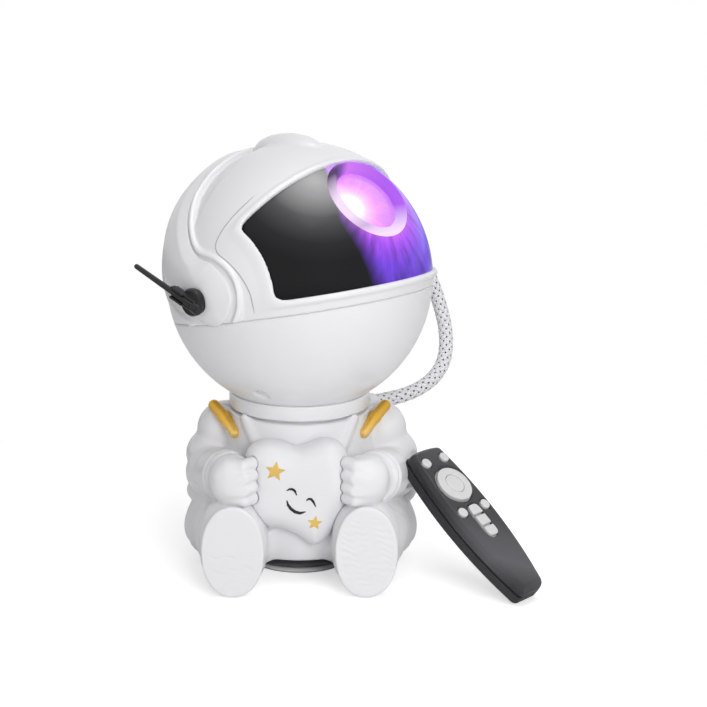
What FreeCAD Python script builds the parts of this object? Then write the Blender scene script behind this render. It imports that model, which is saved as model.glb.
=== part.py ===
import FreeCAD, Part
import math
import os
import Sketcher

# An astronaut figure that projects a night sky. It sits on the floor hugging a plush star. Its round
# helmet turns and tilts on a magnetic collar and holds the projector, and a braided hose leads the
# cable from the back of its shoulder to the ear cup. A remote control lies beside it.
# Frame: +Z up, the figure faces -Y, and the origin is on the floor under the neck's axis.

SIZES = {
    # Helmet, in its own frame: origin at the ball's centre, face to -Y
    "head_radius": 67.4,
    "head_sink": 1.9,
    "head_yaw": 47.2,
    "head_tilt": 11.5,
    "head_wall": 2.2,
    "seam_drop": 12.2,
    "hood_lift": 1.9,
    "crest_length": 24.0,
    "crest_width": 11.5,
    "crest_proud": 6.0,
    "crest_depth": 9.5,
    "crest_lean": 8.0,
    # Visor window and the raised frame around it
    "visor_half_width": 57.6,
    "visor_drop": 4.4,
    "visor_brow": 9.4,
    "visor_slope": 48.0,
    "visor_wall": 1.8,
    "visor_proud": 0.3,
    "visor_ledge": 3.0,
    "flange_back": 13.5,
    "frame_half_width": 63.4,
    "frame_brow": 18.5,
    # Headband with its ear cups, and the step around it
    "ear_radius": 14.5,
    "ear_rise": 1.2,
    "ear_front": 4.3,
    "band_lift": 5.6,
    "step_radius": 19.9,
    "step_margin": 3.4,
    "step_lift": 3.0,
    # Collar, neck and magnet
    "collar_radius": 36.3,
    "collar_lip": 34.6,
    "dish_gap": 0.3,
    "neck_rise": 11.0,
    "neck_gap": 0.3,
    "collar_clear": 0.6,
    "sleeve_radius": 28.5,
    "hub_radius": 33.2,
    "hub_depth": 7.3,
    "collar_floor": 10.0,
    "magnet_radius": 22.0,
    "magnet_bore": 12.0,
    "magnet_thickness": 3.8,
    "retainer_radius": 31.5,
    "retainer_thickness": 2.7,
    "striker_radius": 36.0,
    "striker_wall": 1.5,
    "striker_gap": 0.3,
    # Torso
    "body_wall": 2.4,
    "hip_radius": 40.5,
    "belly_radius": 41.5,
    "seat_radius": 28.5,
    "seat_height": 3.2,
    "hip_height": 24.0,
    "belly_height": 45.0,
    "hip_curve": 24.0,
    "belly_curve": 200.0,
    "chest_curve": 130.0,
    "split_depth": 18.0,
    "shoulder_out": 41.0,
    "shoulder_back": 3.0,
    "shoulder_height": 72.5,
    "shoulder_radius": 12.2,
    "elbow_out": 46.0,
    "elbow_front": 5.0,
    "elbow_height": 43.0,
    "elbow_radius": 13.2,
    "wrist_out": 38.0,
    "wrist_front": 32.0,
    "wrist_height": 54.0,
    "wrist_radius": 11.0,
    "hand_out": 31.0,
    "hand_front": 46.0,
    "hand_height": 58.0,
    "hand_radius": 11.3,
    "hip_out": 36.0,
    "hip_front": 0.0,
    "thigh_radius": 21.6,
    "thigh_height": 22.2,
    "knee_out": 34.5,
    "knee_front": 38.0,
    "knee_radius": 17.5,
    "boot_out": 33.0,
    "boot_front": 46.0,
    "sole_half_width": 15.5,
    "sole_half_height": 23.5,
    "sole_toe": 10.5,
    "sole_front": 61.0,
    "sole_thickness": 3.2,
    "floor_gap": 0.2,
    # Star, shoulder bars
    "star_height": 54.0,
    "star_front": 52.0,
    "star_thickness": 20.0,
    "star_tip": 30.5,
    "star_notch": 18.5,
    "star_turn": -21.0,
    "star_soft": 4.0,
    "star_blunt": 9.0,
    "bar_radius": 2.6,
    "bar_top_out": 43.0,
    "bar_top_rise": 12.6,
    "bar_end_out": 32.0,
    "bar_end_front": 21.0,
    "bar_end_rise": 3.0,
    # Base
    "plate_radius": 27.5,
    "plate_plug": 24.8,
    "plate_plug_height": 3.0,
    "pad_height": 1.2,
    "pad_inner": 19.0,
    "pad_inset": 1.0,
    "ballast_radius": 22.0,
    "ballast_height": 6.0,
    "base_screw_circle": 14.0,
    "base_screw_radius": 1.5,
    "base_screw_head": 2.8,
    "base_screw_height": 1.6,
    "base_screw_length": 8.0,
    # Backpack with the three buttons and the board behind them
    "pack_width": 44.0,
    "pack_height": 46.0,
    "pack_centre": 48.0,
    "pack_back": 57.0,
    "pack_front": 30.0,
    "pack_corner": 8.0,
    "pack_wall": 2.0,
    "pack_edge": 2.5,
    "board_width": 34.0,
    "board_height": 38.0,
    "board_thickness": 1.6,
    "board_gap": 6.4,
    "board_post": 1.8,
    "post_inset": 3.0,
    "button_radius": 4.2,
    "button_pitch": 12.5,
    "button_proud": 1.2,
    "button_travel": 0.6,
    "button_flange": 1.2,
    "button_lip": 0.9,
    "button_stem": 1.6,
    "button_stem_length": 1.0,
    "button_round": 0.8,
    "switch_size": 6.0,
    "usb_width": 9.0,
    "usb_height": 3.4,
    "usb_depth": 7.0,
    "usb_wall": 0.35,
    "usb_centre": 16.0,
    "usb_sink": 0.6,
    "tongue_half_width": 2.9,
    "tongue_half_height": 0.35,
    "tongue_sink": 1.2,
    # Hose
    "hose_radius": 4.0,
    "hose_wall": 0.8,
    "cable_radius": 2.3,
    "ferrule_radius": 5.4,
    "ferrule_length": 6.6,
    "ferrule_flange": 7.2,
    "ferrule_rim": 1.6,
    "ferrule_bevel": 0.6,
    "ferrule_height": 76.0,
    "ferrule_angle": 34.8,
    "ferrule_reach": 48.0,
    # Antenna on the other ear
    "antenna_disc": 6.8,
    "antenna_disc_height": 2.4,
    "antenna_disc_round": 0.8,
    "antenna_pin": 2.0,
    "antenna_pin_proud": 0.4,
    "antenna_gap": 0.3,
    "antenna_rise": 28.5,
    "antenna_reach": 43.0,
    "antenna_start": 3.2,
    "antenna_straight": 14.0,
    "antenna_lift": 0.6,
    "antenna_tip": 1.2,
    "antenna_root": 1.6,
    "clip_length": 22.0,
    "clip_width": 6.2,
    "clip_height": 2.6,
    "clip_corner": 1.2,
    "clip_inset": 1.0,
    "prong_width": 1.4,
    "prong_root": 0.4,
    "prong_proud": 1.0,
    # Projector module, along the beam's axis from the helmet's centre
    "beam_rise": 34.0,
    "gear_plate_at": 27.5,
    "plate_wall": 2.0,
    "module_width": 60.0,
    "module_low": 31.0,
    "module_high": 19.0,
    "module_post": 2.2,
    "shaft_room": 0.4,
    "pin_proud": 0.6,
    "lens_plate_at": 40.0,
    "barrel_radius": 18.6,
    "barrel_wall": 1.8,
    "barrel_sink": 7.9,
    "lens_thickness": 3.0,
    "lens_dome": 34.0,
    "bezel_radius": 21.2,
    "bezel_proud": 0.2,
    "bezel_lap": 1.4,
    "bezel_round": 1.0,
    "bezel_dish": 2.4,
    "gear_module": 0.8,
    "disc_teeth": 48,
    "pinion_teeth": 12,
    "grating_teeth": 24,
    "gear_backlash": 0.16,
    "disc_offset": 11.0,
    "disc_height": 34.0,
    "disc_thickness": 2.5,
    "disc_pin": 1.5,
    "grating_height": 30.2,
    "grating_pin": 1.2,
    "pinion_angle": 30.0,
    "grating_angle": 105.0,
    "running_gap": 0.05,
    "motor_radius": 7.5,
    "motor_length": 12.0,
    "motor_shaft": 1.0,
    "shaft_depth": 3.5,
    "shaft_end_gap": 0.3,
    "pinion_low": 0.2,
    "pinion_high": 0.5,
    "led_radius": 9.5,
    "led_thickness": 1.6,
    "led_hole": 7.5,
    "chip_half": 2.5,
    "chip_height": 1.0,
    "sink_length": 12.0,
    "sink_fin": 1.4,
    "sink_base": 2.0,
    "sink_pitch": 3.4,
    "sink_edge": 0.6,
    "laser_radius": 4.0,
    "laser_length": 20.0,
    "laser_sink": 0.4,
    "laser_eye": 1.2,
    "laser_eye_depth": 2.0,
    "laser_across": 11.8,
    "laser_up": 10.2,
    # Chassis inside the helmet
    "chassis_rise": -0.4,
    "chassis_radius": 56.0,
    "cheek_wall": 2.0,
    "cheek_front": 2.0,
    "cheek_back": 6.0,
    "logic_width": 46.0,
    "logic_depth": 30.0,
    "logic_standoff": 3.0,
    "logic_inset": 10.0,
    "logic_foot": 2.0,
    "processor_half": 5.0,
    "processor_height": 1.6,
    "processor_across": -1.0,
    "plug_half": 5.0,
    "plug_depth": 6.0,
    "plug_height": 5.0,
    "plug_across": 13.0,
    "plug_inset": 4.0,
    "head_screw_out": 42.5,
    "head_screw_front": 4.0,
    "head_screw_radius": 1.5,
    "head_screw_head": 2.9,
    "head_screw_height": 2.0,
    "head_screw_sink": 5.0,
    "head_boss": 4.6,
    # Remote control, in its own frame: tail at the origin, head to +Y, keys up
    "remote_x": 110.8,
    "remote_y": -63.6,
    "remote_yaw": 47.0,
    "remote_lean": 38.0,
    "remote_length": 90.5,
    "remote_tail": 8.8,
    "remote_head": 11.4,
    "remote_side_bow": 194.0,
    "remote_head_bow": 60.0,
    "remote_height": 12.0,
    "remote_split": 5.5,
    "remote_wall": 1.6,
    "remote_corner": 3.4,
    "key_small": 2.7,
    "key_top_at": 82.2,
    "key_top_out": 7.0,
    "key_low_at": 50.3,
    "key_low_out": 8.9,
    "key_ring": 10.0,
    "key_ok": 5.3,
    "key_ring_at": 66.3,
    "key_slot": 3.6,
    "key_pitch": 6.8,
    "key_slot_gap": 0.35,
    "key_slot_start": 0.6,
    "key_nose": 2.2,
    "key_nose_round": 0.2,
    "key_slot_ease": 1.4,
    "key_end_shift": 1.0,
    "key_proud": 0.9,
    "key_flange": 0.8,
    "key_gap": 0.2,
    "key_travel": 0.5,
    "remote_soft": 1.5,
    "remote_post": 1.6,
    "remote_board_thickness": 1.2,
    "board_half": 9.6,
    "board_middle": 62.0,
    "board_reach": 22.0,
    "dome_radius": 1.8,
    "dome_height": 0.4,
    "dome_root": 0.2,
    "cell_radius": 10.0,
    "cell_height": 3.2,
    "cell_at": 21.0,
    "cell_gap": 0.25,
    "coin_slot_half": 0.8,
    "coin_slot_depth": 0.6,
    # Clearances that several pieces share
    "fit": 0.1,
}

BODY_SIDES = {"left": -1, "right": 1}

# The hose's route from the ear cup to the shoulder, in millimetres
HOSE_ROUTE = [
    (54.1, 58.5, 149.0),
    (61.2, 66.2, 149.0),
    (67.6, 71.8, 142.0),
    (73.2, 75.2, 131.5),
    (77.6, 75.6, 119.0),
    (80.6, 71.9, 107.5),
    (81.0, 65.0, 98.0),
    (79.0, 56.8, 90.0),
    (73.4, 48.6, 83.8),
    (65.2, 41.6, 79.6),
    (55.6, 35.6, 77.2),
    (46.4, 32.3, 76.1),
    (39.4, 27.4, 76.0),
]

# The headband's strap in side view, as (forward, height) and how each corner moves when the strap grows
STRAP = [
    ((4.0, -9.0), (0.0, -1.0)),
    ((-18.0, -7.0), (-1.0, -1.0)),
    ((-31.0, 6.0), (-1.0, -0.5)),
    ((-37.0, 27.5), (-1.0, 0.0)),
    ((-41.0, 44.0), (-1.0, 0.0)),
    ((-40.0, 82.0), (-1.0, 0.0)),
    ((-19.0, 82.0), (1.0, 0.0)),
    ((-19.5, 52.0), (1.0, 0.0)),
    ((-17.0, 44.5), (1.0, 0.0)),
    ((-11.0, 33.0), (1.0, 0.5)),
    ((-5.0, 24.5), (0.7, 1.0)),
    ((2.0, 19.0), (0.5, 1.0)),
    ((10.0, 15.0), (0.2, 1.0)),
]

# Where the posts between the projector's two plates stand, across and up
MODULE_POSTS = [(-24.0, 12.0), (24.0, -22.0), (-24.0, -27.0)]

# Spur-gear proportions, as shares of the module
GEAR_ROOT, GEAR_TIP = 1.2, 0.9
TOOTH_HALF_ROOT, TOOTH_HALF_TIP = 1.05, 0.4

STAR_POINTS = 5
TURN = 360

# A hose arc takes this share of the shorter run beside it
HOSE_TRIM = 0.45

# How far a cutting tool runs past the face that it opens, and how near counts as the same height
OVER = 1
TOUCH = 0.01


class Size:
    """A number together with the formula of sheet cells that gives it."""

    def __init__(self, value, formula):
        self.value = value
        self.formula = formula

    def __add__(self, other):
        other = as_size(other)
        return Size(self.value + other.value, f"({self.formula} + {other.formula})")

    def __sub__(self, other):
        other = as_size(other)
        return Size(self.value - other.value, f"({self.formula} - {other.formula})")

    def __mul__(self, other):
        other = as_size(other)
        return Size(self.value * other.value, f"({self.formula} * {other.formula})")

    def __truediv__(self, other):
        other = as_size(other)
        return Size(self.value / other.value, f"({self.formula} / {other.formula})")

    def __radd__(self, other):
        return as_size(other) + self

    def __rsub__(self, other):
        return as_size(other) - self

    def __rmul__(self, other):
        return as_size(other) * self

    def __rtruediv__(self, other):
        return as_size(other) / self

    def __neg__(self):
        return as_size(0) - self


def as_size(number):
    return number if isinstance(number, Size) else Size(float(number), f"({float(number)!r})")


def root(size):
    return Size(math.sqrt(size.value), f"sqrt({size.formula})")


def sine(angle):
    angle = as_size(angle)
    return Size(math.sin(math.radians(angle.value)), f"sin({angle.formula})")


def cosine(angle):
    angle = as_size(angle)
    return Size(math.cos(math.radians(angle.value)), f"cos({angle.formula})")


def leg(hypotenuse, other):
    """The third side of a right triangle."""
    return root(hypotenuse * hypotenuse - other * other)


class Cells:
    """The sheet's sizes by name."""

    def __getattr__(self, alias):
        return Size(float(SIZES[alias]), f"Sizes.{alias}")


class Pose:
    """A place and a turn about one axis, or a chain of them, as an expression."""

    def __init__(self, x=0, y=0, z=0, axis=(0, 0, 1), angle=0, formula=None):
        place = "; ".join(as_size(v).formula for v in (x, y, z))
        turn = "; ".join(str(v) for v in axis)
        turned_by = f"rotation(vector({turn}); {as_size(angle).formula})"
        self.formula = formula or f"placement(vector({place}); {turned_by})"

    def __mul__(self, other):
        return Pose(formula=f"{self.formula} * {other.formula}")


X_AXIS, Y_AXIS, Z_AXIS = (1, 0, 0), (0, 1, 0), (0, 0, 1)
HERE = Pose()
S = Cells()
pieces = []

os.makedirs("parts", exist_ok=True)
doc = FreeCAD.newDocument("AstronautProjector")
sheet = doc.addObject("Spreadsheet::Sheet", "Sizes")
for row, (alias, number) in enumerate(SIZES.items(), 1):
    sheet.set(f"A{row}", alias)
    sheet.set(f"B{row}", str(number))
    sheet.setAlias(f"B{row}", alias)
doc.recompute()


# Building blocks


def bind(item, where, **sizes):
    for name, size in sizes.items():
        item.setExpression(name, as_size(size).formula)
    if where is not HERE:
        item.setExpression("Placement", where.formula)
    return item


def ball(name, radius, where=HERE):
    return bind(doc.addObject("Part::Sphere", name), where, Radius=radius)


def rod(name, radius, low, high, where=HERE):
    """A cylinder along its pose's Z axis, from low to high."""
    item = doc.addObject("Part::Cylinder", name)
    return bind(item, where * Pose(z=low), Radius=radius, Height=high - low)


def block(name, x, y, z, where=HERE):
    """A box between two limits on each axis."""
    item = doc.addObject("Part::Box", name)
    corner = Pose(x[0], y[0], z[0])
    sides = [as_size(high) - low for low, high in (x, y, z)]
    return bind(item, where * corner, Length=sides[0], Width=sides[1], Height=sides[2])


def lump(name, radii, where=HERE):
    """An ellipsoid with its three half-axes along X, Y and Z."""
    item = doc.addObject("Part::Ellipsoid", name)
    item.Angle1 = -90
    return bind(item, where, Radius2=radii[0], Radius3=radii[1], Radius1=radii[2])


def fuse(name, items, where=HERE):
    item = doc.addObject("Part::MultiFuse", name)
    item.Shapes = items
    return bind(item, where)


def meet(name, items, where=HERE):
    item = doc.addObject("Part::MultiCommon", name)
    item.Shapes = items
    return bind(item, where)


def cut(name, base, tools, where=HERE):
    item = doc.addObject("Part::Cut", name)
    item.Base = base
    item.Tool = tools[0] if len(tools) == 1 else fuse(f"{name}_tools", tools)
    return bind(item, where)


def origin_plane(body, role):
    return next(plane for plane in body.Origin.OriginFeatures if plane.Role == role)


def sketch_on(body, role, name):
    sketch = body.newObject("Sketcher::SketchObject", name)
    sketch.AttachmentSupport = [(origin_plane(body, role), "")]
    sketch.MapMode = "FlatFace"
    return sketch


def pin_point(sketch, geometry, end, x, y):
    """Holds one end of a line or arc at two sizes from the sketch's origin."""
    for kind, size in (("DistanceX", as_size(x)), ("DistanceY", as_size(y))):
        number = sketch.addConstraint(Sketcher.Constraint(kind, -1, 1, geometry, end, size.value))
        sketch.setExpression(f"Constraints[{number}]", size.formula)


def arc_between(start, end, radius):
    """The short arc from start to end, counter-clockwise for a positive radius."""
    chord = end - start
    left = FreeCAD.Vector(-chord.y, chord.x, 0).normalize()
    away = math.sqrt(max(radius * radius - chord.Length**2 / 4, 0))
    centre = (start + end) / 2 + left * math.copysign(away, radius)
    first, last = (start, end) if radius > 0 else (end, start)
    angles = [math.atan2(point.y - centre.y, point.x - centre.x) for point in (first, last)]
    circle = Part.Circle(centre, FreeCAD.Vector(0, 0, 1), abs(radius))
    return Part.ArcOfCircle(circle, *angles)


def outline(sketch, moves):
    """Draws a closed outline. Each move is (x, y) for a line to that point, or (x, y, radius) for an arc
    to it, which turns left for a positive radius."""
    points = [FreeCAD.Vector(as_size(move[0]).value, as_size(move[1]).value, 0) for move in moves]
    starts = []
    for index, move in enumerate(moves):
        start, end = points[index - 1], points[index]
        if len(move) == 2:
            geometry = sketch.addGeometry(Part.LineSegment(start, end))
            starts.append((geometry, 1, 2))
        else:
            radius = as_size(move[2])
            geometry = sketch.addGeometry(arc_between(start, end, radius.value))
            starts.append((geometry, 1, 2) if radius.value > 0 else (geometry, 2, 1))
            size = radius if radius.value > 0 else -radius
            number = sketch.addConstraint(Sketcher.Constraint("Radius", geometry, size.value))
            sketch.setExpression(f"Constraints[{number}]", size.formula)
    for index, move in enumerate(moves):
        geometry, _, last = starts[index]
        following, first, _ = starts[(index + 1) % len(moves)]
        sketch.addConstraint(Sketcher.Constraint("Coincident", geometry, last, following, first))
        pin_point(sketch, geometry, last, move[0], move[1])


def circle(sketch, x, y, radius):
    centre = FreeCAD.Vector(as_size(x).value, as_size(y).value, 0)
    normal = FreeCAD.Vector(0, 0, 1)
    geometry = sketch.addGeometry(Part.Circle(centre, normal, as_size(radius).value))
    number = sketch.addConstraint(Sketcher.Constraint("Radius", geometry, as_size(radius).value))
    sketch.setExpression(f"Constraints[{number}]", as_size(radius).formula)
    pin_point(sketch, geometry, 3, x, y)


def turned(name, moves, where=HERE):
    """A body of revolution about its Z axis, from an outline of radius and height."""
    body = doc.addObject("PartDesign::Body", name)
    sketch = sketch_on(body, "XZ_Plane", f"{name}_outline")
    outline(sketch, moves)
    spin = body.newObject("PartDesign::Revolution", f"{name}_turn")
    spin.Profile = sketch
    spin.ReferenceAxis = (sketch, ["V_Axis"])
    spin.Angle = TURN
    sketch.Visibility = False
    return bind(body, where)


def plate(name, moves, low, high, where=HERE, holes=()):
    """A body of one thickness, from an outline in X and Y, between two heights."""
    body = doc.addObject("PartDesign::Body", name)
    sketch = sketch_on(body, "XY_Plane", f"{name}_outline")
    if len(moves) == 1:
        circle(sketch, *moves[0])
    else:
        outline(sketch, moves)
    for hole in holes:
        circle(sketch, *hole)
    pad = body.newObject("PartDesign::Pad", f"{name}_pad")
    pad.Profile = sketch
    pad.setExpression("Length", (as_size(high) - low).formula)
    return bind(body, where * Pose(z=low))


def limb(name, start, end, start_radius, end_radius):
    """A tapered capsule between two points."""
    run = [as_size(b) - a for a, b in zip(start, end)]
    length = root(run[0] * run[0] + run[1] * run[1] + run[2] * run[2])
    lean = (start_radius - end_radius) / length
    flank = root(1 - lean * lean)
    moves = [
        (0, -start_radius),
        (start_radius * flank, start_radius * lean, start_radius),
        (end_radius * flank, length + end_radius * lean),
        (0, length + end_radius, end_radius),
    ]
    tilt = Size(math.degrees(math.acos(run[2].value / length.value)),
                f"acos({run[2].formula} / {length.formula})")
    axis = f"vector(-({run[1].formula}); {run[0].formula}; 0)"
    place = "; ".join(as_size(v).formula for v in start)
    where = Pose(formula=f"placement(vector({place}); rotation({axis}; {tilt.formula}))")
    return turned(name, moves, where)


def keep(item):
    """Marks a finished piece, whose name is its own."""
    pieces.append(item)
    return item


def soften(body, edges, radius, name):
    """Rounds the edges of a body's last feature that a test picks."""
    doc.recompute()
    base = body.Tip
    names = [f"Edge{n}" for n, edge in enumerate(base.Shape.Edges, 1) if edges(edge)]
    rounded = body.newObject("PartDesign::Fillet", name)
    rounded.Base = (base, names)
    rounded.setExpression("Radius", as_size(radius).formula)
    return body


# Heights of the neck and of the helmet's centre, and poses of the helmet, of what it holds and of the remote

NECK = S.shoulder_height + S.neck_rise
HEAD = NECK + S.head_radius - S.head_sink
HELMET = Pose(z=HEAD, angle=S.head_yaw) * Pose(axis=X_AXIS, angle=-S.head_tilt)
SIDE_VIEW = Pose(angle=-90) * Pose(axis=X_AXIS, angle=90)
BEAM = HELMET * Pose(axis=X_AXIS, angle=90 - S.beam_rise)
EAR_OUT = S.head_radius + S.band_lift
ANTENNA = (
    HELMET
    * Pose(x=-EAR_OUT, axis=X_AXIS, angle=S.antenna_rise - 90)
    * Pose(axis=Y_AXIS, angle=-90)
)
HOSE_EAR = HELMET * Pose(x=EAR_OUT, axis=Y_AXIS, angle=90)
FAR = 3 * S.head_radius


def side_prism(name, moves, half_width):
    """A prism across the helmet, from an outline of forward distance and height."""
    return plate(name, moves, -half_width, half_width, SIDE_VIEW)


def visor_window(name, grow, half_width):
    """The window's prism: above its sill and below its slanted brow, grown outwards."""
    slope = sine(S.visor_slope) / cosine(S.visor_slope)
    sill = -S.visor_drop - grow
    brow = S.visor_brow + grow / cosine(S.visor_slope)
    moves = [
        ((sill - brow) / slope, sill),
        (FAR, sill),
        (FAR, FAR),
        ((FAR - brow) / slope, FAR),
    ]
    return side_prism(name, moves, half_width + grow)


def below_seam(name):
    return block(name, (-FAR, FAR), (-FAR, FAR), (-FAR, -S.seam_drop))


def band_moves(grow):
    """The headband's strap in side view: it leaves the ear cup backwards and goes over the top."""
    return [(along + grow * out, up + grow * rise) for (along, up), (out, rise) in STRAP]


def make_helmet():
    wall_ball = ball("hood_inner", S.head_radius - S.head_wall)
    window = visor_window("hood_window", 0, S.visor_half_width)

    # Hood: ball, visor frame, the step under the headband and the crest, less the inside and the window
    frame_slope = sine(S.visor_slope) / cosine(S.visor_slope)
    frame = meet("hood_frame", [
        ball("frame_ball", S.head_radius + S.hood_lift),
        side_prism("frame_area", [
            ((-S.seam_drop - S.frame_brow) / frame_slope, -S.seam_drop),
            (FAR, -S.seam_drop),
            (FAR, FAR),
            ((FAR - S.frame_brow) / frame_slope, FAR),
        ], S.frame_half_width),
    ])
    step_out = S.head_radius + S.step_lift
    step = meet("hood_step", [
        ball("step_ball", step_out),
        fuse("step_area", [
            side_prism("step_strap", band_moves(S.step_margin), FAR),
            rod("step_cup", S.step_radius, -FAR, FAR, SIDE_VIEW * Pose(S.ear_front, S.ear_rise)),
        ]),
    ])
    crest = lump("hood_crest", (S.crest_width, S.crest_length, S.crest_depth),
                 Pose(axis=X_AXIS, angle=S.crest_lean)
                 * Pose(z=S.head_radius + S.crest_proud - S.crest_depth))
    outside = fuse("hood_outside", [ball("hood_ball", S.head_radius), frame, step, crest])
    keep(cut("helmet_hood", outside, [wall_ball, window, below_seam("hood_below")], HELMET))

    # Bowl with the two screw bosses that carry the chassis
    def bosses(name):
        return [
            rod(f"{name}_{side}", S.head_boss, -S.head_radius, S.chassis_rise - S.seam_drop,
                Pose(sign * S.head_screw_out, -S.head_screw_front))
            for side, sign in BODY_SIDES.items()
        ]

    cavity = cut("bowl_cavity", ball("bowl_inner", S.head_radius - S.head_wall), bosses("bowl_boss"))
    lower = meet("bowl_outer", [
        ball("bowl_ball", S.head_radius),
        fuse("bowl_zone", [below_seam("bowl_below")] + bosses("bowl_stub")),
    ])
    head_floor = -leg(S.head_radius, S.head_screw_out) + S.head_screw_sink
    holes = []
    screws = []
    for side, sign in BODY_SIDES.items():
        at = Pose(sign * S.head_screw_out, -S.head_screw_front)
        reach = S.chassis_rise - S.seam_drop + S.plate_wall
        holes.append(rod(f"bowl_hole_{side}", S.head_screw_radius + S.fit, head_floor - OVER, FAR, at))
        holes.append(rod(f"bowl_sink_{side}", S.head_screw_head + S.fit, -FAR, head_floor, at))
        screws.append(rod(f"screw_shank_{side}", S.head_screw_radius, head_floor, reach, at))
        screws.append(rod(f"screw_head_{side}", S.head_screw_head, head_floor - S.head_screw_height,
                          head_floor, at))
    keep(cut("helmet_bowl", lower, [cavity] + holes, HELMET))
    keep(fuse("helmet_screws", screws, HELMET))

    # Visor: a plug that fills the window and a flange behind the hood's wall, with the lens port
    inner = S.head_radius - S.head_wall
    plug = meet("visor_plug", [
        ball("visor_front", S.head_radius + S.visor_proud),
        visor_window("visor_plug_area", -S.fit, S.visor_half_width),
    ])
    flange = meet("visor_flange", [
        ball("visor_flange_ball", inner - S.fit),
        visor_window("visor_flange_area", S.visor_ledge, S.visor_half_width),
        block("visor_flange_front", (-FAR, FAR), (-FAR, S.flange_back), (-FAR, FAR)),
    ])
    visor_inner = ball("visor_inner", inner - S.fit - S.visor_wall)
    port = rod("visor_port", S.bezel_radius + S.fit, 0, FAR,
               Pose(axis=X_AXIS, angle=90 - S.beam_rise))
    visor_body = fuse("visor_body", [plug, flange])
    keep(cut("visor", visor_body, [visor_inner, port], HELMET))

    # Headband over the step, from ear cup to ear cup
    band = meet("band_body", [
        ball("band_ball", EAR_OUT),
        fuse("band_area", [
            side_prism("band_strap", band_moves(0), FAR),
            rod("band_cup", S.ear_radius, -FAR, FAR, SIDE_VIEW * Pose(S.ear_front, S.ear_rise)),
        ]),
    ])
    keep(cut("headband", band, [ball("band_inner", step_out)], HELMET))

    # Steel plate inside the bowl, which the collar's magnet pulls on
    striker_ball = inner - S.striker_gap
    striker = meet("striker_body", [
        ball("striker_outer", striker_ball),
        rod("striker_zone", S.striker_radius, -FAR, 0),
    ])
    keep(cut("striker_plate", striker, [ball("striker_inner", striker_ball - S.striker_wall)], HELMET))


def make_neck():
    dish = S.head_radius + S.dish_gap
    floor_top = HEAD - leg(dish, S.collar_floor)
    lip_top = HEAD - leg(dish, S.collar_lip)
    collar_base = NECK + S.neck_gap
    sleeve_base = NECK - S.hub_depth - S.neck_gap
    magnet_base = sleeve_base + S.fit
    magnet_top = magnet_base + S.magnet_thickness
    keep(turned("neck_collar", [
        (S.collar_lip, lip_top, dish),
        (S.collar_radius, lip_top),
        (S.collar_radius, collar_base),
        (S.sleeve_radius, collar_base),
        (S.sleeve_radius, sleeve_base),
        (S.magnet_radius + S.fit, sleeve_base),
        (S.magnet_radius + S.fit, magnet_top),
        (S.collar_floor, magnet_top),
        (S.collar_floor, floor_top),
    ]))
    keep(turned("collar_magnet", [
        (S.magnet_bore, magnet_base),
        (S.magnet_radius, magnet_base),
        (S.magnet_radius, magnet_top),
        (S.magnet_bore, magnet_top),
    ]))
    keep(turned("collar_retainer", [
        (S.collar_floor, sleeve_base - S.retainer_thickness),
        (S.retainer_radius, sleeve_base - S.retainer_thickness),
        (S.retainer_radius, sleeve_base),
        (S.collar_floor, sleeve_base),
    ]))
    keep(turned("neck_hub", [
        (S.sleeve_radius + S.running_gap, NECK - S.hub_depth),
        (S.hub_radius, NECK - S.hub_depth),
        (S.hub_radius, NECK),
        (S.sleeve_radius + S.running_gap, NECK),
    ]))


def oval_side(shrink):
    """The foot oval's side arc: its radius, and where it meets the toe's arc above its centre."""
    width, height = S.sole_half_width - shrink, S.sole_half_height - shrink
    toe = S.sole_toe - shrink
    rise = height - toe
    side = (width * width + rise * rise - toe * toe) / (2 * (width - toe))
    reach = side - toe
    return toe, side, width - side + side * (side - width) / reach, side * rise / reach


def half_oval(shrink):
    """The right half of the foot's oval, to be turned about its upright axis."""
    toe, side, x, y = oval_side(shrink)
    height = S.sole_half_height - shrink
    return [(0, -height), (x, -y, toe), (x, y, side), (0, height, toe)]


def whole_oval(shrink):
    toe, side, x, y = oval_side(shrink)
    return [(x, y, side), (-x, y, toe), (-x, -y, side), (x, -y, toe)]


def torso_core(name, shrink, low):
    """The trunk under the arms and legs, turned about the neck's axis."""
    return turned(name, [
        (0, low),
        (S.seat_radius - shrink, low),
        (S.hip_radius - shrink, S.hip_height, S.hip_curve - shrink),
        (S.belly_radius - shrink, S.belly_height, S.belly_curve),
        (S.collar_radius - shrink, NECK - shrink, S.chest_curve),
        (0, NECK - shrink),
    ])


def torso_solid(name, shrink, low):
    """Trunk, arms and legs as one solid, shrunk by a wall for the inside."""
    members = [torso_core(f"{name}_core", shrink, low)]
    for side, sign in BODY_SIDES.items():
        shoulder = (sign * S.shoulder_out, S.shoulder_back, S.shoulder_height)
        elbow = (sign * S.elbow_out, -S.elbow_front, S.elbow_height)
        wrist = (sign * S.wrist_out, -S.wrist_front, S.wrist_height)
        hand = (sign * S.hand_out, -S.hand_front, S.hand_height)
        hip = (sign * S.hip_out, -S.hip_front, S.thigh_height)
        knee = (sign * S.knee_out, -S.knee_front, S.thigh_height)
        members += [
            limb(f"{name}_upper_{side}", shoulder, elbow,
                 S.shoulder_radius - shrink, S.elbow_radius - shrink),
            limb(f"{name}_fore_{side}", elbow, wrist, S.elbow_radius - shrink, S.wrist_radius - shrink),
            ball(f"{name}_hand_{side}", S.hand_radius - shrink, Pose(*hand)),
            limb(f"{name}_thigh_{side}", hip, knee, S.thigh_radius - shrink, S.knee_radius - shrink),
            turned(f"{name}_boot_{side}", half_oval(shrink),
                   Pose(sign * S.boot_out, -S.boot_front, S.sole_half_height + S.floor_gap)),
        ]
    return fuse(name, members)


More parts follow.
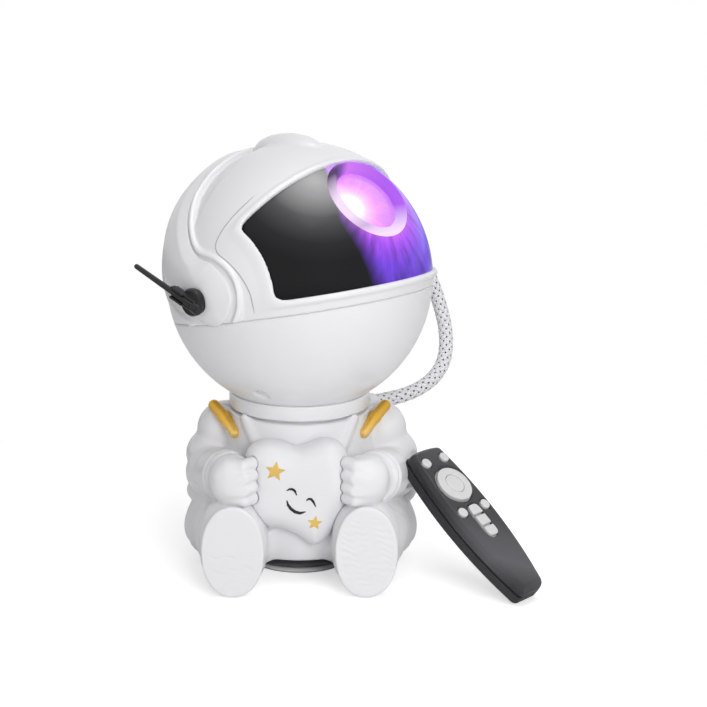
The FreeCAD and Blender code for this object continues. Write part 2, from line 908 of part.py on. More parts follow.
def make_torso():
    outside = torso_solid("torso_outside", as_size(0), S.seat_height)
    inside = torso_solid("torso_inside", S.body_wall, S.seat_height - OVER)
    sole_back = S.sole_thickness - S.sole_front
    pack_half = S.pack_width / 2 - 2 * S.pack_wall
    usb = (S.usb_width / 2 + S.fit, S.usb_height / 2 + S.fit)
    openings = [
        inside,
        rod("neck_opening", S.hub_radius + S.fit, NECK - 2 * S.body_wall, FAR),
        rod("collar_room", S.collar_radius + S.collar_clear, NECK, FAR),
        rod("base_opening", S.plate_plug + S.fit, 0, S.hip_height / 2),
        block("sole_room", (-FAR, FAR), (-FAR, sole_back), (-FAR, FAR)),
        block("pack_opening", (-pack_half, pack_half), (S.pack_front, FAR),
              (S.pack_centre - pack_half, S.pack_centre + pack_half)),
        block("usb_opening", (-usb[0], usb[0]), (0, FAR), (S.usb_centre - usb[1], S.usb_centre + usb[1])),
        rod("hose_opening", S.hose_radius - S.hose_wall, S.collar_lip / 2, S.ferrule_reach,
            Pose(z=S.ferrule_height, angle=S.ferrule_angle) * Pose(axis=Y_AXIS, angle=90)),
    ]
    skin = cut("torso_skin", outside, openings)
    rear = block("rear_zone", (-FAR, FAR), (S.split_depth, FAR), (-FAR, FAR))
    keep(cut("torso_front_shell", skin, [rear]))
    keep(meet("torso_back_shell", [skin, rear]))
    return outside


def make_soles():
    for side, sign in BODY_SIDES.items():
        upright = Pose(sign * S.boot_out, S.sole_thickness - S.sole_front - S.fit,
                       S.sole_half_height + S.floor_gap, X_AXIS, 90)
        keep(plate(f"boot_sole_{side}", whole_oval(as_size(0)), 0, S.sole_thickness - S.fit, upright))


def make_star(torso):
    """A plush star: five rounded arms, soft edges, and a back that follows the belly and the hands."""
    moves = []
    for point in range(STAR_POINTS):
        tip = S.star_turn + TURN / 4 + TURN / STAR_POINTS * point
        for side in (-1, 1):
            corner = tip + side * S.star_blunt
            moves.append((S.star_tip * cosine(corner), S.star_tip * sine(corner)))
        notch = tip + TURN / STAR_POINTS / 2
        moves.append((S.star_notch * cosine(notch), S.star_notch * sine(notch)))
    upright = Pose(y=S.star_thickness - S.star_front, z=S.star_height, axis=X_AXIS, angle=90)
    star = plate("star_cushion", moves, 0, S.star_thickness, upright)
    soften(star, lambda edge: edge.BoundBox.ZLength > TOUCH, S.star_soft, "star_tips")
    doc.recompute()
    front = S.star_thickness.value
    soften(star, lambda edge: edge.BoundBox.ZMin > front - TOUCH, S.star_soft, "star_edge")
    keep(cut("star", star, [torso]))


def make_bars(torso):
    """Gold-coloured piping that lies on each shoulder."""
    bars = []
    for side, sign in BODY_SIDES.items():
        top = (sign * S.bar_top_out, -S.shoulder_back, S.shoulder_height + S.bar_top_rise)
        end = (sign * S.bar_end_out, -S.bar_end_front, S.shoulder_height + S.bar_end_rise)
        bars.append(limb(f"shoulder_bar_{side}", top, end, S.bar_radius, S.bar_radius))
    keep(cut("shoulder_bars", fuse("bar_bodies", bars), [torso]))


def make_base():
    low = S.pad_height
    plug_top = S.seat_height + S.plate_plug_height
    around = [
        (S.base_screw_circle * cosine(angle), S.base_screw_circle * sine(angle))
        for angle in range(0, TURN, TURN // 3)
    ]
    head_top = low + S.base_screw_height
    body = turned("base_body", [
        (0, low),
        (S.plate_radius, low),
        (S.plate_radius, S.seat_height - S.fit),
        (S.plate_plug, S.seat_height - S.fit),
        (S.plate_plug, plug_top),
        (0, plug_top),
    ])
    holes = []
    screws = []
    threads = []
    for number, (x, y) in enumerate(around):
        at = Pose(x, y)
        end = head_top + S.base_screw_length
        holes.append(rod(f"base_hole_{number}", S.base_screw_radius + S.fit, 0, plug_top + OVER, at))
        holes.append(rod(f"base_sink_{number}", S.base_screw_head + S.fit, 0, head_top, at))
        threads.append(rod(f"ballast_hole_{number}", S.base_screw_radius + S.fit, 0, end + S.fit, at))
        screws.append(rod(f"base_shank_{number}", S.base_screw_radius, head_top, end, at))
        screws.append(rod(f"base_head_{number}", S.base_screw_head, low, head_top, at))
    keep(cut("base_plate", body, holes))
    keep(fuse("base_screws", screws))
    keep(turned("base_pad", [
        (S.pad_inner, 0),
        (S.plate_radius - S.pad_inset, 0),
        (S.plate_radius - S.pad_inset, low),
        (S.pad_inner, low),
    ]))
    slug = rod("ballast_body", S.ballast_radius, plug_top, plug_top + S.ballast_height)
    keep(cut("ballast_plate", slug, threads))


def rounded_rectangle(half_width, half_height, corner):
    """Counter-clockwise moves around a rectangle with rounded corners."""
    w, h, c = half_width, half_height, corner
    return [
        (w - c, -h), (w, c - h, c), (w, h - c), (w - c, h, c),
        (c - w, h), (-w, h - c, c), (-w, c - h), (c - w, -h, c),
    ]


def make_backpack(torso):
    """A pack on the back with three buttons, whose board hangs on posts behind it."""
    facing = Pose(z=S.pack_centre, axis=X_AXIS, angle=-90)
    half = (S.pack_width / 2, S.pack_height / 2)
    shell = plate("pack_shell", rounded_rectangle(half[0], half[1], S.pack_corner),
                  S.pack_front, S.pack_back, facing)
    soften(shell, lambda edge: edge.BoundBox.ZMin > (S.pack_back - S.pack_front).value - TOUCH,
           S.pack_edge, "pack_soft_edge")
    hollow = plate("pack_hollow", rounded_rectangle(
        half[0] - S.pack_wall, half[1] - S.pack_wall, S.pack_corner - S.pack_wall),
        S.pack_front - OVER, S.pack_back - S.pack_wall, facing)
    inner_face = S.pack_back - S.pack_wall
    board_back = inner_face - S.board_gap
    posts = [
        rod(f"pack_post_{across}_{up}", S.board_post, board_back, inner_face + S.pack_wall / 2,
            facing * Pose(across * (S.board_width / 2 - S.post_inset),
                          up * (S.board_height / 2 - S.post_inset)))
        for across in (-1, 1) for up in (-1, 1)
    ]
    walls = cut("pack_walls", shell, [hollow])
    body = fuse("pack_body", [walls] + posts)
    places = {"power_button": 1, "nebula_button": 0, "star_button": -1}
    rows = {name: facing * Pose(y=-S.button_pitch * row) for name, row in places.items()}
    holes = [
        rod(f"{name}_hole", S.button_radius + S.key_gap, board_back + OVER, FAR, row)
        for name, row in rows.items()
    ]
    keep(cut("backpack", body, [torso] + holes))

    board = block("board_sheet", (-S.board_width / 2, S.board_width / 2),
                  (-S.board_height / 2, S.board_height / 2),
                  (board_back - S.board_thickness, board_back), facing)
    stem = S.button_stem_length + S.button_travel
    switches = [
        block(f"{name}_switch", (-S.switch_size / 2, S.switch_size / 2),
              (-S.switch_size / 2, S.switch_size / 2),
              (board_back, inner_face - S.button_flange - S.button_travel - stem), row)
        for name, row in rows.items()
    ]
    keep(fuse("control_board", [board] + switches))
    flange_top = inner_face - S.key_gap
    for name, row in rows.items():
        flange_base = flange_top - S.button_flange
        top = S.pack_back + S.button_proud
        keep(turned(name, [
            (0, flange_base - stem + S.key_gap),
            (S.button_stem, flange_base - stem + S.key_gap),
            (S.button_stem, flange_base),
            (S.button_radius + S.button_lip, flange_base),
            (S.button_radius + S.button_lip, flange_top),
            (S.button_radius, flange_top),
            (S.button_radius, top - S.button_round),
            (S.button_radius - S.button_round, top, S.button_round),
            (0, top),
        ], row))


def make_usb():
    """The metal power socket low on the back."""
    back = leg(S.hip_radius, S.hip_height - S.usb_centre) - S.usb_sink
    half = (S.usb_width / 2, S.usb_height / 2)
    low, high = S.usb_centre - half[1], S.usb_centre + half[1]
    front = back - S.usb_depth
    can = block("usb_can", (-half[0], half[0]), (front, back), (low, high))
    bore = block("usb_bore", (S.usb_wall - half[0], half[0] - S.usb_wall), (front + S.usb_wall, back + OVER),
                 (low + S.usb_wall, high - S.usb_wall))
    tongue = block("usb_tongue", (-S.tongue_half_width, S.tongue_half_width), (front, back - S.tongue_sink),
                   (S.usb_centre - S.tongue_half_height, S.usb_centre + S.tongue_half_height))
    shell = cut("usb_shell", can, [bore])
    keep(fuse("usb_socket", [shell, tongue]))


def hose_path():
    """Straight runs joined by tangent arcs, each arc as large as its two runs allow."""
    points = [FreeCAD.Vector(*point) for point in HOSE_ROUTE]
    edges = []
    start = points[0]
    for before, corner, after in zip(points, points[1:], points[2:]):
        back = before - corner
        ahead = after - corner
        trim = HOSE_TRIM * min(back.Length, ahead.Length)
        half_turn = (math.pi - back.getAngle(ahead)) / 2
        first = corner + back.normalize() * trim
        last = corner + ahead.normalize() * trim
        radius = trim / math.tan(half_turn)
        bisector = (back + ahead).normalize()
        middle = corner + bisector * (radius / math.cos(half_turn) - radius)
        edges.append(Part.LineSegment(start, first).toShape())
        edges.append(Part.Arc(first, middle, last).toShape())
        print(f"hose bend radius {radius:.1f} mm")
        start = last
    edges.append(Part.LineSegment(start, points[-1]).toShape())
    return Part.Wire(edges)


def tube_along(path, outer, inner):
    """A round tube along a path, or a solid cord if inner is 0."""
    start, ahead = path.Edges[0].Vertexes[0].Point, path.Edges[0].tangentAt(0)
    solids = []
    for radius in (outer, inner):
        if radius > 0:
            ring = Part.Wire(Part.makeCircle(radius, start, ahead))
            solids.append(path.makePipeShell([ring], True, True))
    tube = solids[0] if inner == 0 else solids[0].cut(solids[1])
    area = math.pi * (outer**2 - inner**2)
    print(f"hose volume {tube.Volume:.1f}, section times length {area * path.Length:.1f}")
    return tube


def make_hose():
    path = hose_path()
    print(f"hose length {path.Length:.1f} mm")
    outer, wall, cable = S.hose_radius.value, S.hose_wall.value, S.cable_radius.value
    for name, outside, inside in (("hose_sleeve", outer, outer - wall), ("hose_cable", cable, 0)):
        item = doc.addObject("Part::Feature", name)
        item.Shape = tube_along(path, outside, inside)
        keep(item)
    ferrule = [
        (S.hose_radius - S.hose_wall, -S.ferrule_length),
        (S.ferrule_flange, -S.ferrule_length),
        (S.ferrule_flange, S.ferrule_rim - S.ferrule_length),
        (S.ferrule_radius, S.ferrule_rim + S.ferrule_bevel - S.ferrule_length),
        (S.ferrule_radius - S.ferrule_bevel, 0),
        (S.hose_radius - S.hose_wall, 0),
    ]
    keep(turned("hose_socket_head", ferrule, HOSE_EAR * Pose(z=S.ferrule_length)))
    shoulder = Pose(z=S.ferrule_height, angle=S.ferrule_angle) * Pose(axis=Y_AXIS, angle=90)
    return turned("hose_socket_blank", ferrule, shoulder * Pose(z=S.ferrule_reach))


def make_antenna():
    pivot_top = S.antenna_disc_height + S.antenna_gap
    clip_top = pivot_top + S.clip_height
    pin_top = clip_top + S.antenna_pin_proud
    sunk = S.head_radius - leg(S.head_radius + S.band_lift, S.antenna_disc) + S.band_lift
    keep(cut("antenna_pivot", turned("pivot_blank", [
        (0, -sunk),
        (S.antenna_disc, -sunk),
        (S.antenna_disc, S.antenna_disc_height - S.antenna_disc_round),
        (S.antenna_disc - S.antenna_disc_round, S.antenna_disc_height, S.antenna_disc_round),
        (S.antenna_pin, S.antenna_disc_height),
        (S.antenna_pin, pin_top),
        (0, pin_top),
    ], ANTENNA), [ball("pivot_band", EAR_OUT, HELMET)]))
    tail = S.clip_length - S.antenna_reach / 3
    half = S.clip_width / 2
    bar = plate("clip_bar", rounded_rectangle(S.clip_length / 2, half, S.clip_corner), pivot_top, clip_top,
                ANTENNA * Pose(x=S.clip_length / 2 - tail), [(tail - S.clip_length / 2, 0,
                                                             S.antenna_pin + S.running_gap)])
    rod_height = clip_top + S.antenna_lift + S.antenna_root
    prongs = [
        block(f"clip_prong_{n}", (S.antenna_start, S.clip_length - tail - S.clip_inset),
              (low, low + S.prong_width), (clip_top - S.prong_root, rod_height + S.prong_proud), ANTENNA)
        for n, low in enumerate((-half, half - S.prong_width))
    ]
    keep(fuse("antenna_clip", [bar] + prongs))
    keep(turned("antenna_rod", [
        (0, S.antenna_start),
        (S.antenna_root, S.antenna_start),
        (S.antenna_root, S.antenna_straight),
        (S.antenna_tip, S.antenna_reach - S.antenna_tip),
        (0, S.antenna_reach, S.antenna_tip),
    ], ANTENNA * Pose(z=rod_height) * Pose(axis=Y_AXIS, angle=90)))


def gear(name, teeth, low, high, bore, where):
    """A spur gear with straight-sided teeth. The first tooth points along X."""
    pitch = S.gear_module * teeth / 2
    root_radius = pitch - GEAR_ROOT * S.gear_module
    tip_radius = pitch + GEAR_TIP * S.gear_module
    body = doc.addObject("PartDesign::Body", name)
    sketch = sketch_on(body, "XY_Plane", f"{name}_rim")
    circle(sketch, 0, 0, root_radius)
    if bore is not None:
        circle(sketch, 0, 0, bore)
    pad = body.newObject("PartDesign::Pad", f"{name}_pad")
    pad.Profile = sketch
    pad.setExpression("Length", (high - low).formula)
    half_root = S.gear_module * TOOTH_HALF_ROOT - S.gear_backlash / 2
    half_tip = S.gear_module * TOOTH_HALF_TIP - S.gear_backlash / 2
    profile = sketch_on(body, "XY_Plane", f"{name}_tooth")
    outline(profile, [
        (root_radius - S.gear_module / 2, -half_root),
        (tip_radius, -half_tip),
        (tip_radius, half_tip),
        (root_radius - S.gear_module / 2, half_root),
    ])
    tooth = body.newObject("PartDesign::Pad", f"{name}_tooth_pad")
    tooth.Profile = profile
    tooth.setExpression("Length", (high - low).formula)
    pattern = body.newObject("PartDesign::PolarPattern", f"{name}_teeth")
    pattern.Originals = [tooth]
    axis = next(line for line in body.Origin.OriginFeatures if line.Role == "Z_Axis")
    pattern.Axis = (axis, [""])
    pattern.Angle = TURN
    pattern.setExpression("Occurrences", teeth.formula)
    body.Tip = pattern
    return bind(body, where * Pose(z=low))


def make_projector():
    """The beam's parts, from the heat sink at the back to the lens in the visor's port."""
    plate_top = S.gear_plate_at + S.plate_wall
    lens_plate_top = S.lens_plate_at + S.plate_wall
    centres = (S.disc_teeth + S.pinion_teeth) * S.gear_module / 2
    pinion_x = centres * cosine(S.pinion_angle)
    pinion_y = centres * sine(S.pinion_angle) - S.disc_offset
    reach = (S.grating_teeth + S.pinion_teeth) * S.gear_module / 2
    grating_x = pinion_x + reach * cosine(S.grating_angle)
    grating_y = pinion_y + reach * sine(S.grating_angle)
    half = S.module_width / 2
    low, high = -S.module_low, S.module_high
    sheet_moves = [(half, low), (half, high), (-half, high), (-half, low)]

    # Gear plate with the wheels' pins and the posts that carry the lens plate
    tools = [plate("gear_sheet", sheet_moves, S.gear_plate_at, plate_top, BEAM, [
        (0, 0, S.led_hole),
        (S.laser_across, S.laser_up, S.laser_radius + S.fit),
        (pinion_x, pinion_y, S.motor_shaft + S.shaft_room),
    ])]
    tools.append(rod("disc_pin", S.disc_pin, plate_top - OVER,
                     S.disc_height + S.disc_thickness + S.pin_proud, BEAM * Pose(y=-S.disc_offset)))
    tools.append(rod("grating_pin_post", S.grating_pin, plate_top - OVER,
                     S.grating_height + S.disc_thickness + S.pin_proud, BEAM * Pose(grating_x, grating_y)))
    for number, (x, y) in enumerate(MODULE_POSTS):
        tools.append(rod(f"module_post_{number}", S.module_post, plate_top - OVER, S.lens_plate_at,
                         BEAM * Pose(x, y)))
    keep(fuse("module_frame", tools))

    # Barrel on its plate, lens and bezel
    bore = S.barrel_radius - S.barrel_wall
    barrel_end = S.head_radius - S.barrel_sink
    bezel_end = S.head_radius + S.bezel_proud
    barrel_plate = plate("barrel_plate", sheet_moves, S.lens_plate_at, lens_plate_top, BEAM, [(0, 0, bore)])
    tube = turned("barrel_tube", [
        (bore, S.lens_plate_at),
        (S.barrel_radius, S.lens_plate_at),
        (S.barrel_radius, barrel_end),
        (bore, barrel_end),
    ], BEAM)
    keep(fuse("lens_barrel", [barrel_plate, tube]))
    bezel_bore = S.barrel_radius - S.bezel_lap
    keep(turned("lens_bezel", [
        (bezel_bore, barrel_end + S.fit),
        (S.bezel_radius, barrel_end + S.fit),
        (S.bezel_radius, bezel_end - S.bezel_round),
        (S.bezel_radius - S.bezel_round, bezel_end, S.bezel_round),
        (bezel_bore, bezel_end - S.bezel_dish),
    ], BEAM))
    lens_radius = bezel_bore - S.fit
    rim = barrel_end + S.fit + S.lens_thickness
    dome = rim + S.lens_dome - leg(S.lens_dome, lens_radius)
    keep(turned("front_lens", [
        (0, barrel_end + S.fit),
        (lens_radius, barrel_end + S.fit),
        (lens_radius, rim),
        (0, dome, S.lens_dome),
    ], BEAM))

    # Lamp with its heat sink, laser, motor
    led_top = S.gear_plate_at - S.fit
    led_base = led_top - S.led_thickness
    keep(fuse("led_board", [
        rod("led_disc", S.led_radius, led_base, led_top, BEAM),
        block("led_chip", (-S.chip_half, S.chip_half), (-S.chip_half, S.chip_half),
              (led_top - S.fit, led_top + S.chip_height), BEAM),
    ]))
    sink_base = led_base - S.sink_length
    fins = [rod("sink_base", S.led_radius, led_base - S.sink_base, led_base, BEAM)]
    for number in (-2, -1, 0, 1, 2):
        across = number * S.sink_pitch
        depth = leg(S.led_radius, across) - S.sink_edge
        fins.append(block(f"sink_fin_{number + 2}", (across - S.sink_fin / 2, across + S.sink_fin / 2),
                          (-depth, depth), (sink_base, led_base - OVER), BEAM))
    keep(fuse("heat_sink", fins))
    keep(turned("laser_module", [
        (0, plate_top - S.laser_length),
        (S.laser_radius, plate_top - S.laser_length),
        (S.laser_radius, plate_top - S.laser_sink),
        (S.laser_eye, plate_top - S.laser_sink),
        (S.laser_eye, plate_top - S.laser_sink - S.laser_eye_depth),
        (0, plate_top - S.laser_sink - S.laser_eye_depth),
    ], BEAM * Pose(S.laser_across, S.laser_up)))
    motor_at = BEAM * Pose(pinion_x, pinion_y)
    motor_base = S.gear_plate_at - S.motor_length
    can = rod("motor_can", S.motor_radius, motor_base, S.gear_plate_at, motor_at)
    shaft_room = rod("motor_bore", S.motor_shaft + S.running_gap, S.gear_plate_at - S.shaft_depth,
                     S.gear_plate_at + OVER, motor_at)
    keep(cut("motor", can, [shaft_room]))

    # Wheels in mesh: the disc's tooth meets the pinion's gap, and its tooth meets the grating's gap
    step = TURN / S.pinion_teeth
    disc_turn = Pose(y=-S.disc_offset, angle=S.pinion_angle)
    keep(gear("nebula_disc", S.disc_teeth, S.disc_height, S.disc_height + S.disc_thickness,
              S.disc_pin + S.running_gap, BEAM * disc_turn))
    pinion = gear("pinion_wheel", S.pinion_teeth, S.grating_height - S.pinion_low,
                  S.disc_height + S.disc_thickness + S.pinion_high, None,
                  BEAM * Pose(pinion_x, pinion_y, angle=S.pinion_angle + TURN / 2 + step / 2))
    shaft = rod("pinion_shaft", S.motor_shaft, S.gear_plate_at - S.shaft_depth + S.shaft_end_gap,
                S.grating_height + OVER, motor_at)
    keep(fuse("motor_pinion", [pinion, shaft]))
    keep(gear("grating_wheel", S.grating_teeth, S.grating_height, S.grating_height + S.disc_thickness,
              S.grating_pin + S.running_gap,
              BEAM * Pose(grating_x, grating_y,
                          angle=S.grating_angle + TURN / 2 + TURN / 2 / S.grating_teeth)))


def make_chassis():
    """A floor on the bowl's bosses, with two cheeks that hold the projector's plates."""
    low = S.chassis_rise - S.seam_drop
    high = low + S.plate_wall
    holes = [
        (sign * S.head_screw_out, -S.head_screw_front, S.head_screw_radius + S.fit)
        for sign in BODY_SIDES.values()
    ]
    floor = plate("chassis_floor", [(0, 0, S.chassis_radius)], low, high, HERE, holes)
    reach = [
        (S.gear_plate_at, -S.module_low), (S.lens_plate_at + S.plate_wall, -S.module_low),
        (S.lens_plate_at + S.plate_wall, S.module_high), (S.gear_plate_at, S.module_high),
    ]
    corners = [
        (along * cosine(S.beam_rise) - up * sine(S.beam_rise),
         along * sine(S.beam_rise) + up * cosine(S.beam_rise))
        for along, up in reach
    ]
    foot = low + OVER
    moves = [(corners[0][0] - S.cheek_front, foot)] + corners[1:] + [(corners[3][0] - S.cheek_back, foot)]
    inner = S.module_width / 2 + S.fit
    cheeks = [
        plate("chassis_cheek_left", moves, inner, inner + S.cheek_wall, SIDE_VIEW),
        plate("chassis_cheek_right", moves, -inner - S.cheek_wall, -inner, SIDE_VIEW),
    ]
    keep(fuse("chassis", [floor] + cheeks, HELMET))
    board_low = high + S.logic_standoff
    board_back = S.chassis_radius - S.logic_inset
    board = block("logic_sheet", (-S.logic_width / 2, S.logic_width / 2),
                  (board_back - S.logic_depth, board_back), (board_low, board_low + S.board_thickness))
    feet = [
        rod(f"logic_foot_{across}_{back}", S.logic_foot, high, board_low + S.board_thickness / 2,
            Pose(across * (S.logic_width / 2 - S.post_inset), board_back - S.logic_depth / 2
                 + back * (S.logic_depth / 2 - S.post_inset)))
        for across in (-1, 1) for back in (-1, 1)
    ]
    board_top = board_low + S.board_thickness
    middle = board_back - S.logic_depth / 2
    plug_back = board_back - S.plug_inset
    chips = [
        block("logic_chip", (S.processor_across - S.processor_half, S.processor_across + S.processor_half),
              (middle - S.processor_half, middle + S.processor_half),
              (board_top - S.fit, board_top + S.processor_height)),
        block("logic_plug", (S.plug_across - S.plug_half, S.plug_across + S.plug_half),
              (plug_back - S.plug_depth, plug_back), (board_top - S.fit, board_top + S.plug_height)),
    ]
    keep(fuse("main_board", [board] + feet + chips, HELMET))


# Remote control

REMOTE = Pose(S.remote_x, S.remote_y, 0, angle=S.remote_yaw) * Pose(axis=X_AXIS, angle=S.remote_lean)


def remote_slab(name, shrink, low, high):
    """The remote's outline between two heights of its thickness, with rounded corners."""
    tail, head, end = S.remote_tail - shrink, S.remote_head - shrink, S.remote_length - shrink
    slab = plate(name, [
        (tail, shrink),
        (head, end, S.remote_side_bow - shrink),
        (-head, end, S.remote_head_bow - shrink),
        (-tail, shrink, S.remote_side_bow - shrink),
    ], low, high, REMOTE)
    thickness = (as_size(high) - low).value
    return soften(slab, lambda edge: edge.BoundBox.ZLength > thickness - TOUCH,
                  S.remote_corner - shrink, f"{name}_corners")


def key_stack(name, profile_moves, low, flange, top, holes=()):
    """A key: a cap that stands out of the face and a wider foot below it."""
    cap = plate(f"{name}_cap", profile_moves(0), low, top, REMOTE, holes)
    foot = plate(f"{name}_foot", profile_moves(S.key_flange), low, low + flange, REMOTE, holes)
    return keep(fuse(name, [cap, foot]))


def make_remote():
    inner_roof = S.remote_height - S.remote_wall
    wall = S.remote_wall
    top = remote_slab("remote_lid", as_size(0), S.remote_split, S.remote_height)
    soften(top, lambda edge: edge.BoundBox.ZMin > (S.remote_height - S.remote_split).value - TOUCH,
           S.remote_soft, "remote_soft_edge")
    room = remote_slab("remote_lid_room", wall, S.remote_split - OVER, inner_roof)
    face = S.remote_height + S.key_proud
    key_base = inner_roof - S.key_gap - S.key_flange

    def round_key(x, y, radius):
        return lambda grow: [(x, y, radius + grow)]

    slot_at = [S.key_low_at - S.key_slot_start - S.key_pitch * n for n in range(3)]
    half = S.key_pitch / 2 - S.key_slot_gap

    def square_key(y):
        def moves(grow):
            w, h = S.key_slot + grow, half
            return [(w, y - h), (w, y + h), (-w, y + h), (-w, y - h)]
        return moves

    def end_key(y, up):
        def moves(grow):
            w = S.key_slot + grow
            flat = y - up * half
            nose = y + up * (half - S.key_nose)
            bow = w + S.key_nose_round
            if up > 0:
                return [(w, flat), (w, nose), (-w, nose, bow), (-w, flat)]
            return [(-w, flat), (-w, nose), (w, nose, bow), (w, flat)]
        return moves

    rounds = {
        "key_power": (-S.key_top_out, S.key_top_at),
        "key_timer": (S.key_top_out, S.key_top_at),
        "key_nebula": (-S.key_low_out, S.key_low_at),
        "key_star": (S.key_low_out, S.key_low_at),
    }
    openings = [room]
    for name, (x, y) in rounds.items():
        key_stack(name, round_key(x, y, S.key_small), key_base, S.key_flange, face)
        openings.append(rod(f"{name}_hole", S.key_small + S.key_gap, S.remote_split, FAR,
                            REMOTE * Pose(x, y)))
    keep(rod("key_ok", S.key_ok, key_base, face + S.key_gap, REMOTE * Pose(y=S.key_ring_at)))
    key_stack("key_ring", round_key(0, S.key_ring_at, S.key_ring), key_base, S.key_flange, face,
              [(0, S.key_ring_at, S.key_ok + S.key_gap)])
    openings.append(rod("key_ring_hole", S.key_ring + S.key_gap, S.remote_split, FAR,
                        REMOTE * Pose(0, S.key_ring_at)))
    key_stack("key_up", end_key(slot_at[0], 1), key_base, S.key_flange, face)
    key_stack("key_speed", square_key(slot_at[1]), key_base, S.key_flange, face)
    key_stack("key_down", end_key(slot_at[2], -1), key_base, S.key_flange, face)
    slot = S.key_slot + S.key_gap
    openings.append(block("key_slot_middle", (-slot, slot),
                          (slot_at[2] - S.key_slot_ease, slot_at[0] + S.key_slot_ease),
                          (S.remote_split, FAR), REMOTE))
    for number, y in ((0, slot_at[0] + S.key_end_shift), (2, slot_at[2] - S.key_end_shift)):
        openings.append(rod(f"key_slot_end_{number}", slot, S.remote_split, FAR, REMOTE * Pose(0, y)))
    keep(cut("remote_top", top, openings))

    # Tray with posts for the board, a coin cell near the tail and its round cover
    board_top = key_base - S.key_travel - S.dome_height - S.fit
    board_low = board_top - S.remote_board_thickness
    tray = remote_slab("remote_tray", as_size(0), as_size(0), S.remote_split - S.fit)
    soften(tray, lambda edge: edge.BoundBox.ZMax < TOUCH, S.remote_soft, "remote_soft_back")
    tray_room = remote_slab("remote_tray_room", wall, S.remote_wall, S.remote_split)
    cover_at = REMOTE * Pose(y=S.cell_at)
    cover_room = rod("cover_room", S.cell_radius + 2 * S.cell_gap, -OVER, S.remote_split, cover_at)
    posts = [
        rod(f"remote_post_{across}_{along}", S.remote_post, S.remote_wall / 2, board_low,
            REMOTE * Pose(across * S.board_half / 2, S.board_middle + along * S.board_reach / 2))
        for across in (-1, 1) for along in (-1, 1)
    ]
    shell = cut("remote_tray_shell", tray, [tray_room, cover_room])
    keep(fuse("remote_bottom", [shell] + posts))
    cover = rod("cover_disc", S.cell_radius + S.cell_gap, 0, S.remote_wall, cover_at)
    coin_slot = block("cover_slot", (-S.cell_radius / 2, S.cell_radius / 2),
                      (-S.coin_slot_half, S.coin_slot_half), (-OVER, S.coin_slot_depth), cover_at)
    keep(cut("cell_cover", cover, [coin_slot]))
    keep(rod("coin_cell", S.cell_radius, S.remote_wall + S.fit, S.remote_wall + S.fit + S.cell_height,
             cover_at))
    sheet_area = block("remote_sheet", (-S.board_half, S.board_half),
                       (S.board_middle - S.board_reach, S.board_middle + S.board_reach),
                       (board_low, board_top), REMOTE)
    spots = list(rounds.values()) + [(0, S.key_ring_at)] + [(0, y) for y in slot_at]
    domes = [
        rod(f"remote_dome_{number}", S.dome_radius, board_top - S.dome_root, board_top + S.dome_height,
            REMOTE * Pose(x, y))
        for number, (x, y) in enumerate(spots)
    ]
    keep(fuse("remote_board", [sheet_area] + domes))


def make_all():
    make_helmet()
    make_neck()
    torso = make_torso()
    make_soles()
    make_star(torso)
    make_bars(torso)
    make_base()
    make_backpack(torso)
    make_usb()
    socket_blank = make_hose()
    keep(cut("hose_socket_body", socket_blank, [torso]))
    make_antenna()
    make_projector()
    make_chassis()
    make_remote()


make_all()
doc.recompute()
faults = [item.Name for item in doc.Objects if {"Invalid", "Error"} & set(item.State)]
faults += [item.Label for item in pieces if item.Shape.isNull() or not item.Shape.isValid()]
if faults:
    raise ValueError(f"not built: {faults}")
for item in pieces:
    item.Shape.exportStep(f"parts/{item.Label}.step")
print(f"{len(pieces)} pieces")
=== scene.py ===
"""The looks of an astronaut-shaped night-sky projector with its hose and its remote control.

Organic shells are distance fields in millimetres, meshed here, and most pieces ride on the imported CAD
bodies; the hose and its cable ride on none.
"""

import math

import bmesh
import bpy
import numpy as np
from mathutils import Matrix, Vector


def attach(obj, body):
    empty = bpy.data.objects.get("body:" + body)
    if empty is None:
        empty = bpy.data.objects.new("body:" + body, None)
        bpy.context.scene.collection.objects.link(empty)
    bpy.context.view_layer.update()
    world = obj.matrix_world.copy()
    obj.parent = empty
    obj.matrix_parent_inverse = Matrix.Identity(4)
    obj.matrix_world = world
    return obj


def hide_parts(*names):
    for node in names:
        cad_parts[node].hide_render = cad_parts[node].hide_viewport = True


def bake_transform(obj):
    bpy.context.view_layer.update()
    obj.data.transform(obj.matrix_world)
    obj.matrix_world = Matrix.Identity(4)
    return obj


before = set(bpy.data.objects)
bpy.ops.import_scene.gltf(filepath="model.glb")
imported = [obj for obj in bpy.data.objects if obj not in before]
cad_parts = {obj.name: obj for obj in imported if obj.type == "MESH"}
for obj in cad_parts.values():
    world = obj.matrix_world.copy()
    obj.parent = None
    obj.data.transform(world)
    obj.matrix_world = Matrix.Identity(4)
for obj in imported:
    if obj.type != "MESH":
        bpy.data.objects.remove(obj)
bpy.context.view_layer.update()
MM = 0.001

# Sizes of the real object, in millimetres
HELMET_RADIUS = 67.4
HELMET_WALL = 2.2
BEAM_RISE = math.radians(34)  # the lens looks this far above the helmet's level
SEAM_HEIGHT = -12.2  # between the helmet's hood and bowl
CUP_SIDE = 73.0  # the ear cup's outer face
SPLIT = 18.0  # where the suit's front and back meet, behind the middle

CELL = 1.0


# Distance fields: each takes points (n, 3) and gives their distance from a surface, less than 0 inside


def norm(v):
    return np.sqrt(np.einsum("...i,...i->...", v, v))


def ball(centre, radius):
    centre = np.float32(centre)
    return lambda p: norm(p - centre) - radius


